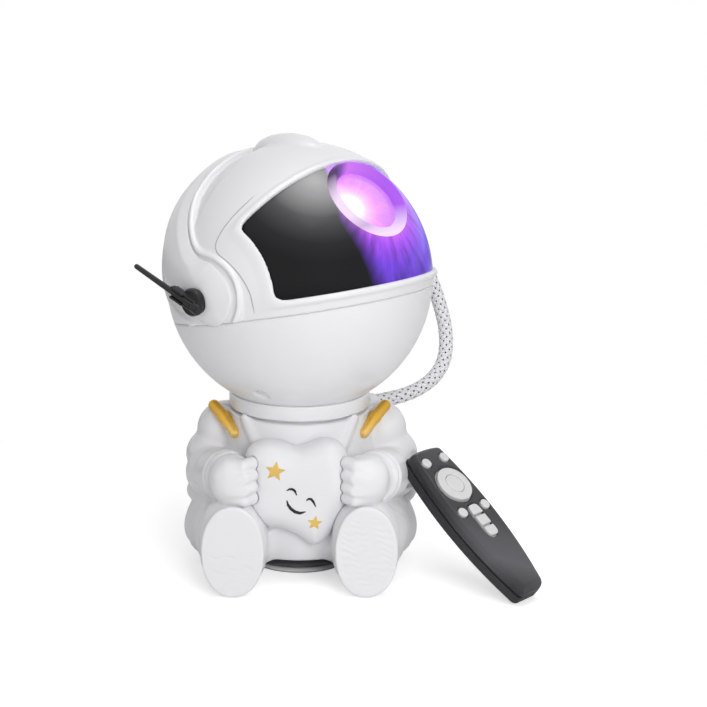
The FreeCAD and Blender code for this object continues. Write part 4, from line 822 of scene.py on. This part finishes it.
def torso_field():
    trunk_side = outline_distance(TRUNK)

    def trunk(p):
        return trunk_side(np.stack([norm(p[:, :2]), p[:, 2]], 1))

    def arch(p):
        """The room under the seat's front, between the boots."""
        side = np.stack([np.abs(p[:, 0]) - 17.5, p[:, 2] - 10.8], 1)
        across = norm(np.maximum(side + 7, 0)) + np.minimum(side.max(1) + 7, 0) - 7
        return np.maximum(across, p[:, 1] + 27.5)

    shoulder = lump((39.5, 1.5, 69), (14.8, 16, 14.8))
    sleeve = join(2.0, lump((45.2, -0.5, 56.5), (14.9, 16.5, 13.5)), lump((46.2, -5, 47), (13.4, 15, 10.5)))
    fore = puffy((45.5, -11, 50), (39, -31, 54), 14.0, 12.2, 1.6, 0.8, 0.4)
    elbow = lump((50.4, 3, 35.6), (9.9, 12.5, 7.2))
    wrist = np.float32([-0.42, -0.88, 0.2])
    cuff = join(0.6, limb((39, -30, 54.2), (36.6, -36, 55.6), 12.0, 11.5),
                ring_round((37.9, -33.5, 54.8), wrist, 11.8, 1.7),
                ring_round((36.3, -36.9, 55.6), wrist, 11.6, 1.5))
    arm = join(2.2, shoulder, join(0.9, sleeve, join(2.2, fore, cuff)))
    fist = lump((33.0, -46.8, 57), (11.8, 10.6, 13.2))
    fingers = [path([(34.5, y - 53.2, z - 0.8), (27.5, y - 55.6, z), (23.6, y - 52.0, z + 0.4)], 3.35)
               for z, y in ((48.6, 1.6), (54.6, 0.0), (60.6, 0.2), (66.2, 2.6))]
    hand = join(2.0, fist, join(1.3, *fingers))
    thigh = join(4, puffy((36, -1, 22.4), (34.5, -35, 22.4), 21.4, 18.0, 1.6, 1.0, 0.3),
                 lump((37.4, -3, 17.6), (22.8, 24, 17.4)))
    gather = lump((33.8, -37, 23), (17.2, 4.0, 20.0))
    boot = lump((33, -47, 23.7), (16.0, 16.5, 23.6))
    boot_core = limb((33, -44, 15.7), (33, -44, 31.7), 15.2, 15.2)
    legs = join(2.5, thigh, gather, join(6, boot, boot_core))
    straps = limb((27.0, -24.4, 82.5), (18.4, -36.2, 65), 2.4, 2.6)

    # Cloth creases, each a soft groove along a line on the surface
    creases = [
        (path([(60.5, -8, 58), (56, -18, 61.5), (48, -22, 67), (39, -22, 71)], 0.7), 2.6),
        (path([(58, -16, 45), (52, -25, 47), (47.5, -31, 51)], 0.8), 2.4),
        (path([(57, -20, 28), (53, -27, 33), (46, -31, 37), (38, -33, 39)], 0.8), 2.4),
        (path([(57.8, -5, 12), (56, -18, 9.5), (50, -30, 9)], 0.8), 2.4),
        (path([(15, -41, 30), (22, -36, 36), (31, -30, 40)], 1.0), 2.6),
    ]
    chest_fold = path([(10, -39.5, 76), (2, -41.5, 72), (-5, -41.5, 69.5)], 0.9)

    body = join(7, both(trunk), join(2, both(thigh, APART), both(legs)))
    body = cut(3.0, join(2.6, body, both(straps)), chest_fold)
    body = join(0.9, join(2.4, body, both(arm, APART)), both(elbow, APART))
    body = join(1.2, body, both(hand))
    for crease, soft in creases:
        body = cut(soft, body, both(crease))
    return cut(1.5, body, arch)


def well(radius, low, high=200):
    """An upright round hole between two heights."""
    return lambda p: np.maximum(np.maximum(norm(p[:, :2]) - radius, low - p[:, 2]), p[:, 2] - high)


def make_torso():
    solid = cut(0.5, torso_field(),
                well(33.3, 76.0), well(36.6, 83.5),  # for the neck hub and the collar
                half_space((0, 1, 0), -57.75), half_space((0, 0, 1), 0.25),  # at the soles and the floor
                well(24.9, -200, 12.0),  # for the base plate
                box((0, 43.5, 48), (18, 13, 20), 1.0),  # for the backpack
                box((0, 40, 16), (4.6, 12, 1.8), 0.6))  # for the USB inlet
    front = cut(0.35, solid, half_space((0, -1, 0), -SPLIT + 0.1))
    back = cut(0.35, solid, half_space((0, 1, 0), SPLIT + 0.1))
    suit = white("suit_front", front, (-66, -60, 0), (66, 20, 92), "torso", None, CELL * 0.85,
                 "torso_front_shell")
    # The recess wall under the seat's front gets the painted shadow as its second material
    suit.data.materials.append(SEAT_SHADOW)
    for face in suit.data.polygons:
        x, y, z = face.center / MM
        if z < 10.2 and abs(x) < 17.6 and -29.4 < y < -25:
            face.material_index = 1
    white("suit_back", back, (-66, 14, 0), (66, 45, 92), "torso", None, CELL, "torso_back_shell")


def make_soles():
    """Foot plates: the left one almost smooth, the right one with wavy ribs."""
    half_width, half_height, front, back = 15.5, 23.5, -61.0, -57.85
    for side, node in ((-1, "boot_sole_left"), (1, "boot_sole_right")):
        middle, level = np.float32([side * 33.0, 23.7])

        def field(p, side=side, middle=middle, level=level):
            x, y, z = p.T
            across, up = (x - middle) / half_width, (z - level) / half_height
            rim = ((np.abs(across) ** 2.15 + np.abs(up) ** 2.15) ** (1 / 2.15) - 1) * half_width
            height = z + 1.2 * np.sin(x * 0.28) + 0.7 * np.sin(x * 0.71 + z * 0.3)
            if side > 0:
                wave = 0.2 * (0.5 + 0.5 * np.cos(height * 2 * math.pi / 3.4)) ** 2
                fade = np.clip(-(rim + 1.8) / 1.5, 0, 1)
            else:
                wave = 0.22 * np.exp(-((np.mod(height - 3.2, 7.6) - 3.8) / 0.5) ** 2)
                fade = np.clip(-(rim + 3.0) / 3, 0, 1) * (z < 22)
            return smooth_max(np.maximum(rim, y - back), front + 0.35 - y + wave * fade, 1.2)

        white(f"{node}_plate", field, (middle - 17, -62.4, -1), (middle + 17, -56.6, 49), "torso", None,
              CELL * 0.5, node)


# Star

STAR_CENTRE = np.float32([0, -42.0, 54])
STAR_OUTLINE = chaikin([
    (-1.5, 18.8), (4, 20.6), (9.5, 23.0), (16, 23.6), (21.8, 20.0), (25.0, 11), (29, 3), (29.5, -4.5),
    (24.5, -9.5), (20.5, -17), (15.4, -26.5), (9.5, -32.4), (4.5, -31.6), (-0.5, -26.8), (-9, -22.8),
    (-17, -22.6), (-26, -22), (-30, -14), (-27.2, -5), (-25, 2), (-26.6, 10), (-26.8, 16.5), (-22.5, 21.4),
    (-15.5, 23.2), (-8, 21.6)
])


def star_field():
    """A cushion: full in the middle, and round towards its outline."""
    outline = outline_distance(STAR_OUTLINE)
    inset, deep = 12.0, 10.2

    def field(p):
        x, y, z = (p - STAR_CENTRE).T
        edge = outline(np.stack([x, z], 1))
        return (np.hypot(np.maximum(edge + inset, 0) / inset, y / deep) - 1) * 9.5

    return field


def make_star():
    star = star_field()
    cushion = cut(0.4, meet(0, star, half_space((0, 1, 0), -31.0)), grown(torso_field(), 0.15))
    white("star_cushion", cushion, (-33, -54, 21), (33, -30, 86), "torso", None, CELL * 0.8, "star")

    def decal(name, shape, centre, reach, material):
        """A thin printed layer on the star's front, inside a flat shape round the star's centre."""
        rise, half_thickness, back = 0.05, 0.14, -44

        def field(p):
            flat = shape((p - STAR_CENTRE)[:, [0, 2]])
            layer = np.abs(star(p) - rise) - half_thickness
            return smooth_max(np.maximum(flat, layer), np.maximum(p[:, 1] - back, 0) * 40 - 40, 0.1)

        u, v = centre
        v += float(STAR_CENTRE[2])
        sculpt(name, field, (u - reach, -53.4, v - reach), (u + reach, back, v + reach), material, "torso",
               cell=0.24)

    def five_points(centre, size, turned):
        corner = np.arange(10)
        angles = np.radians(90 + turned + 36 * corner)
        reaches = np.where(corner % 2, 0.45 * size, size)
        return outline_distance(centre + np.stack([np.cos(angles), np.sin(angles)], 1) * reaches[:, None])

    for name, centre, size, turned, reach in (("gold_star_large", (-12.0, 9.2), 5.3, -10, 6.2),
                                              ("gold_star_small", (7.6, -17.6), 4.0, -8, 5.0)):
        decal(name, five_points(centre, size, turned), centre, reach, GOLD_PRINT)
    for name, points, widths, centre, reach in (
            ("star_eye_left", [(-6.3, -0.7), (-5.0, 0.0), (-3.6, 0.1), (-2.3, -0.8), (-1.4, -3.0)],
             [0.2, 0.52, 0.64, 0.62, 0.25], (-3.9, -1.2), 3.6),
            ("star_eye_right", [(3.3, -5.9), (4.4, -5.0), (5.6, -5.0), (6.8, -6.4), (8.0, -9.0)],
             [0.2, 0.52, 0.64, 0.62, 0.25], (5.7, -6.8), 3.8),
            ("star_mouth",
             [(-6.2, -5.9), (-5.6, -8.2), (-4.2, -10.2), (-2.2, -11.7), (0.2, -12.4), (2.8, -11.7)],
             [0.25, 0.66, 0.8, 0.84, 0.76, 0.3], (-1.8, -9.2), 6.0)):
        decal(name, path(points, widths), centre, reach, INK)


def make_bars():
    """Gold-coloured piping that lies on the shoulders."""
    bars = [path([(s * 43.9, -5, 83.4), (s * 38.4, -13.4, 79.7), (s * 32.6, -22.8, 74)], [3.0, 3.1, 2.7], 1.5)
            for s in (-1, 1)]
    piping = cut(0.3, join(0, *bars), grown(torso_field(), -0.6))
    sculpt("shoulder_piping", piping, (-50, -28, 69), (50, 3, 90), GOLD, "torso", cell=CELL * 0.6,
           nodes=["shoulder_bars"])


# Antenna: a disc on the ear cup, a clip that turns on it, and its rod, which points along the local X


def make_antenna():
    lift = 4.9  # of the rod's axis over the ear cup
    foot = meet(0.4, rod(6.1), half_space((0, 0, 1), 0.5), half_space((0, 0, -1), 2.2))
    sculpt("antenna_foot", foot, (-8, -8, -4), (8, 8, 3), BLACK, "helmet", ANTENNA, 0.36, ["antenna_pivot"])

    disc = meet(0.5, rod(6.8), half_space((0, 0, 1), 4.1), half_space((0, 0, -1), -0.75))
    disc = meet(0.2, disc, lambda p: norm(p[:, :2]) * 0.8 + p[:, 2] * 0.6 - 7.35)
    trough = box((3.9, 0, 3.7), (8.1, 3.0, 1.9), 0.8)
    prongs = [box((x, y, lift), (4.4, 0.68, 1.6), 0.4) for x, y in ((8.1, -2.35), (7.3, 2.35))]
    drum = meet(0.5, rod(2.8, "x", (0, lift)), half_space((1, 0, 0), -3.8), half_space((-1, 0, 0), 7.6))
    groove = join(0, limb((-3.4, 0, lift), (60, 0, lift), 1.75, 1.75), box((12, 0, 7), (15.4, 1.75, 2), 0.1))
    clip = cut(0.25, join(0.4, disc, trough, *prongs, drum), groove)
    sculpt("antenna_clip_body", clip, (-9, -8, 0), (14, 8, 9), BLACK, "antenna", ANTENNA, 0.3,
           ["antenna_clip"])

    tip = [(1.26 * math.cos(a), 38.4 + 1.26 * math.sin(a)) for a in np.radians((18, 36, 54, 72))]
    profile = [(0, -3.1), (1.5, -3.1), (1.62, -2.9), (1.62, 11.5), (1.55, 12.0), (1.48, 12.6), (1.3, 38.4),
               *tip, (0, 39.6)]
    lathe("antenna_rod_tapered", profile, BLACK, "antenna", ANTENNA @ shift(z=lift) @ turn(90, "Y"), 32,
          ["antenna_rod"])


# Hose

HOSE_ROUTE = [
    (54.1, 58.5, 149.0), (61.2, 66.2, 149.0), (67.6, 71.8, 142.0), (73.2, 75.2, 131.5), (77.6, 75.6, 119.0),
    (80.6, 71.9, 107.5), (81.0, 65.0, 98.0), (79.0, 56.8, 90.0), (73.4, 48.6, 83.8), (65.2, 41.6, 79.6),
    (55.6, 35.6, 77.2), (46.4, 32.3, 76.1), (39.4, 27.4, 76.0),
]


def hose_line():
    """The hose's centreline: points read from a NURBS spline over its route, in millimetres."""
    curve = bpy.data.curves.new("hose_line", "CURVE")
    curve.dimensions = "3D"
    spline = curve.splines.new("NURBS")
    spline.points.add(len(HOSE_ROUTE) - 1)
    for point, place in zip(spline.points, HOSE_ROUTE):
        point.co = (*(Vector(place) * MM), 1)
    spline.order_u = 3
    spline.use_endpoint_u = True
    spline.resolution_u = 24
    item = bpy.data.objects.new("hose_line", curve)
    mesh = bpy.data.meshes.new_from_object(item)
    line = np.array([v.co for v in mesh.vertices]) / MM
    bpy.data.objects.remove(item)
    bpy.data.curves.remove(curve)
    bpy.data.meshes.remove(mesh)
    return line


def frames_along(line, count):
    """Points at even steps along a line, and two directions across it at each."""
    steps = np.linalg.norm(np.diff(line, axis=0), axis=1)
    total = np.concatenate([[0], np.cumsum(steps)])
    at = np.linspace(0, total[-1], count)
    points = np.stack([np.interp(at, total, line[:, k]) for k in range(3)], 1)
    ahead = np.gradient(points, axis=0)
    ahead /= np.linalg.norm(ahead, axis=1)[:, None]
    side = np.cross(ahead[0], (0, 0, 1))
    sides = []
    for direction in ahead:
        side = side - direction * (side @ direction)
        side /= np.linalg.norm(side)
        sides.append(side)
    sides = np.array(sides)
    return at, points, sides, np.cross(ahead, sides)


def tube(points, side, up, radius, around):
    """The points and faces of a round tube along a course. Its radius may change on the way."""
    angles = np.linspace(0, 2 * math.pi, around, endpoint=False)[:, None]
    out = side[:, None] * np.cos(angles) + up[:, None] * np.sin(angles)
    ring = points[:, None] + np.broadcast_to(radius, len(points))[:, None, None] * out
    return ring.reshape(-1, 3), grid_faces(len(points), around)


def make_hose():
    """A sleeve braided of flat strands that pass over and under each other, and the cable inside it."""
    line = hose_line()
    length = float(np.linalg.norm(np.diff(line, axis=0), axis=1).sum())
    strands, pitch, middle_radius, sides = 6, 31.0, 3.68, 8
    half_width, half_thickness, dip, over = 1.16, 0.14, 0.18, 0.15  # a strand's section and its wave
    count = int(length * (4.0))
    at, points, side, up = frames_along(line, count)
    section = np.linspace(0, 2 * math.pi, sides, endpoint=False)[:, None]
    wide, rise = np.cos(section), np.sin(section)
    winding = at * 2 * math.pi / pitch
    all_points, all_faces = [], []
    for sense in (-1, 1):
        for strand in range(strands):
            angle = sense * winding + 2 * math.pi * strand / strands
            radius = middle_radius + over * np.cos(winding * strands + (0 if sense > 0 else math.pi))
            out = side * np.cos(angle)[:, None] + up * np.sin(angle)[:, None]
            middle = points + out * radius[:, None]
            ahead = np.gradient(middle, axis=0)
            ahead /= np.linalg.norm(ahead, axis=1)[:, None]
            across = np.cross(ahead, out)[:, None]
            ring = middle[:, None] + across * wide * half_width
            ring = ring + out[:, None] * (rise * half_thickness - wide * wide * dip)
            all_faces.append(grid_faces(count, sides) + count * sides * len(all_points))
            all_points.append(ring.reshape(-1, 3))
    sleeve = piece("hose_braid", np.concatenate(all_points), np.concatenate(all_faces).tolist(), BRAID,
                   nodes=["hose_sleeve"])
    _, *course = frames_along(line, 150)
    cable_radius = 2.3
    points, faces = tube(*course, cable_radius, 20)
    cable = piece("hose_inner_cable", points, faces.tolist(), CABLE, nodes=["hose_cable"])
    start, end = (Vector(HOSE_ROUTE[k]) * MM for k in (0, -1))
    for part in (sleeve, cable):
        end.lerp(start, 0.12)
        end.lerp(start, 0.88)
        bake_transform(part)
    tuple(start)
    [tuple(p * MM) for p in course[0]]

    ferrule = [(4.05, 0.2), (6.6, 0.2), (7.2, 0.8), (7.2, 1.2), (6.7, 1.7), (5.6, 2.2), (5.1, 3.4),
               (4.95, 5.8), (4.6, 6.5), (4.05, 6.6)]
    lathe("hose_socket_ear", ferrule, WHITE_SHELL, "helmet", HOSE_EAR, 64, ["hose_socket_head"])


# Remote control, in its own frame: tail at the origin, head towards +Y, keys up

KEY_SPOTS = {"key_power": (-7.0, 82.2), "key_timer": (7.0, 82.2),
             "key_nebula": (-8.9, 50.3), "key_star": (8.9, 50.3)}
RING_AT = 66.3
SLOT_AT = (49.7, 42.9, 36.1)
FACE_HEIGHT = 12.0
KEY_HEIGHT = 12.85


def bowed(a, b, radius, steps):
    """Points from a to before b, on an arc that bulges to the right of the way from a to b."""
    a, b = np.float64(a), np.float64(b)
    half = np.linalg.norm(b - a) / 2
    along = (b - a) / (2 * half)
    out = np.array([along[1], -along[0]])
    centre = (a + b) / 2 - out * math.sqrt(radius**2 - half**2)
    reach = math.asin(half / radius)
    return [tuple(centre + radius * (out * math.cos(t) + along * math.sin(t)))
            for t in np.linspace(-reach, reach, steps, endpoint=False)]


def remote_outline(shrink):
    tail, head, end = 8.8 - shrink, 11.4 - shrink, 90.5 - shrink
    points = [(-tail, shrink)] + bowed((tail, shrink), (head, end), 194 - shrink, 18)
    points += bowed((head, end), (-head, end), 60 - shrink, 8)
    points += bowed((-head, end), (-tail, shrink), 194 - shrink, 18)
    return outline_distance(points)


def make_remote():
    corner = 3.4
    edge = remote_outline(corner)

    def outline(p):
        return edge(p[:, :2]) - corner

    def capsule(grow):
        """The three keys in a row share this outline."""
        def field(p):
            y = np.clip(p[:, 1], SLOT_AT[2] + 0.2, SLOT_AT[0] - 0.2)
            return np.maximum(np.abs(p[:, 0]), np.hypot(p[:, 0], p[:, 1] - y)) - 3.6 - grow
        return field

    def tail(p):
        return (p[:, 2] - 8.0) * 0.62 - (p[:, 1] - 0.3) * 0.78

    def shell(p):
        rim = outline(p)
        side = rim * 0.80 + (p[:, 2] - 9.6) * 0.6 + 0.15
        crown = p[:, 2] - FACE_HEIGHT + 0.0009 * p[:, 0] ** 2 + 0.00012 * (p[:, 1] - 48) ** 2
        return smooth_max(smooth_max(smooth_max(rim, side, 0.4), tail(p), 0.4), crown, 0.7)

    def around(x, y, radius):
        return lambda p: np.hypot(p[:, 0] - x, p[:, 1] - y) - radius

    def rounded(shape, depth):
        """A groove that rounds the face's edge at a flat shape."""
        return lambda p: np.hypot(shape(p), p[:, 2] - FACE_HEIGHT) - depth

    def room(p):
        return np.maximum(np.maximum(outline(p) + 1.6, p[:, 2] - 10.4), tail(p) + 1.3)

    tools = [room, half_space((0, 0, 1), 5.55), around(0, RING_AT, 10.75)]
    tools += [rounded(around(0, RING_AT, 11.2), 0.7)]
    for spot in KEY_SPOTS.values():
        tools += [around(*spot, 3.1), rounded(around(*spot, 3.2), 0.35)]
    tools += [capsule(0.4), rounded(capsule(0.7), 0.5)]
    sculpt("remote_face", cut(0.3, shell, *tools), (-17, -1, 5), (17, 93, 13), REMOTE_SHELL, "remote", REMOTE,
           0.5, ["remote_top"])

    def key(name, shape, x, y, reach, top=KEY_HEIGHT, hollow=None):
        def field(p):
            flat = shape(p)
            crown = p[:, 2] - top + 0.012 * np.minimum(flat + 3, 3) ** 2
            foot = np.maximum(flat - 0.8, np.abs(p[:, 2] - 9.8) - 0.4)
            found = np.minimum(smooth_max(flat, crown, 0.55), foot)
            if hollow is not None:
                found = smooth_max(found, -hollow(p), 0.35)
            return np.maximum(found, 9.4 - p[:, 2])

        sculpt(f"{name}_cap", field, (x - reach[0], y - reach[1], 9), (x + reach[0], y + reach[1], 14), KEY,
               f"{name}_body", REMOTE, 0.3, [name])

    for name, (x, y) in KEY_SPOTS.items():
        key(name, around(x, y, 2.7), x, y, (4, 4))
    key("key_ring", around(0, RING_AT, 10.0), 0, RING_AT, (11.5, 11.5), hollow=around(0, RING_AT, 5.5))
    key("key_ok", around(0, RING_AT, 5.3), 0, RING_AT, (6.5, 6.5), KEY_HEIGHT + 0.1)
    for name, y in zip(("key_up", "key_speed", "key_down"), SLOT_AT):
        key(name, meet(0.5, capsule(0), lambda p, y=y: np.abs(p[:, 1] - y) - 2.8), 0, y, (5, 4.6))


# CAD parts that keep their own shape get a finish


def dress_parts():
    for material, nodes in (
            # The base plate wears the painted shadow of the seat's recess
            (SEAT_SHADOW, "base_plate"),
            (LINE, "base_pad"),
            (WHITE_SHELL, "helmet_screws backpack hose_socket_body neck_hub collar_retainer "
                          "power_button nebula_button star_button"),
            (STEEL, "base_screws striker_plate usb_socket coin_cell ballast_plate laser_module "
                    "collar_magnet motor"),
            (ALUMINIUM, "heat_sink"),
            (BOARD, "control_board main_board led_board remote_board"),
            (DARK, "chassis module_frame lens_barrel"),
            (GEAR, "motor_pinion grating_wheel"),
            (FILM, "nebula_disc"),
            (REMOTE_BASE, "remote_bottom cell_cover")):
        for node in nodes.split():
            materials = bpy.data.objects[node].data.materials
            materials.clear()
            materials.append(material)


# Light, floor and camera


FLOOR_LIFT = 0.5  # how much brighter the floor looks to the camera


def make_floor():
    """A pale floor that keeps the shadows near the object and is plain white to the camera further out."""
    half = 4000
    corners = [(-half, -half, 0), (half, -half, 0), (half, half, 0), (-half, half, 0)]
    look = Look("pale_floor", (0.86, 0.86, 0.86), 0.7, Specular_IOR_Level=0.1)
    seen = look.node("LightPath").outputs["Is Camera Ray"]
    away = look.spread(look.distance((0.02, -0.01, 0)), 0, 1, 0.13, 0.30)
    white_light = look.node("Emission", (1, 1, 1, 1), 1.0)
    extra = look.node("Emission", (1, 1, 1, 1), look.maths("MULTIPLY", seen, FLOOR_LIFT))
    lifted = look.node("AddShader", look.shader.outputs[0], extra.outputs[0])
    share = look.maths("MULTIPLY", seen, away)
    mix = look.node("MixShader", share, lifted.outputs[0], white_light.outputs[0])
    wire(look.tree, look.tree.nodes["Material Output"], Surface=mix.outputs[0])
    piece("floor", corners, [(0, 1, 2, 3)], look.material)


def make_world():
    """Soft light from all sides, and plain white to the camera and in glossy surfaces."""
    world = bpy.data.worlds.new("studio")
    bpy.context.scene.world = world
    world.use_nodes = True
    tree = world.node_tree
    soft = wire(tree, tree.nodes["Background"], (1, 1, 1, 1), 0.29)
    seen = add_node(tree, "Background", (1, 1, 1, 1))
    ray = add_node(tree, "LightPath").outputs
    either = ray["Is Camera Ray"]
    for kind in ("Is Glossy Ray", "Is Transmission Ray"):
        either = add_node(tree, "Math", either, ray[kind], operation="MAXIMUM").outputs[0]
    mix = add_node(tree, "MixShader", either, soft.outputs[0], seen.outputs[0])
    wire(tree, tree.nodes["World Output"], Surface=mix.outputs[0])


def aim(item, place, target):
    item.location = place
    item.rotation_euler = (Vector(target) - Vector(place)).to_track_quat("-Z", "Y").to_euler()


def make_lights():
    for name, place, size, power, glossy in (
            ("key_lamp", (0.42, -1.05, 0.52), (0.55, 0.55), 7.2, False),
            ("fill_lamp", (-0.75, -0.75, 0.35), (0.4, 0.4), 0.9, False),
            ("top_lamp", (0.15, -0.15, 1.1), (0.7, 0.7), 3.6, True),
            ("back_lamp", (0.2, 1.0, 0.45), (0.8, 0.6), 2.0, False)):
        data = bpy.data.lights.new(name, "AREA")
        data.shape = "RECTANGLE"
        data.size, data.size_y = size
        data.energy = power
        item = placed(name, data)
        aim(item, place, (0, 0, 0.11))
        item.visible_glossy = glossy


def make_camera():
    """The camera stands 0.9 m away and 14 degrees above the level."""
    data = bpy.data.cameras.new("camera")
    data.lens, data.sensor_width = 89.4, 36.0
    data.shift_x, data.shift_y = 0.0764, -0.0143
    item = placed("camera", data)
    rise, target = math.radians(14), Vector((0, 0, 0.115))
    aim(item, target + Vector((0, -math.cos(rise), math.sin(rise))) * 0.9, target)
    bpy.context.scene.camera = item


make_camera()
make_hose()
make_helmet()
make_frame_line()
make_lens()
make_collar()
make_torso()
make_soles()
make_star()
make_bars()
make_antenna()
make_remote()
dress_parts()
make_floor()
make_world()
make_lights()
bpy.context.scene.view_settings.view_transform = "Standard"
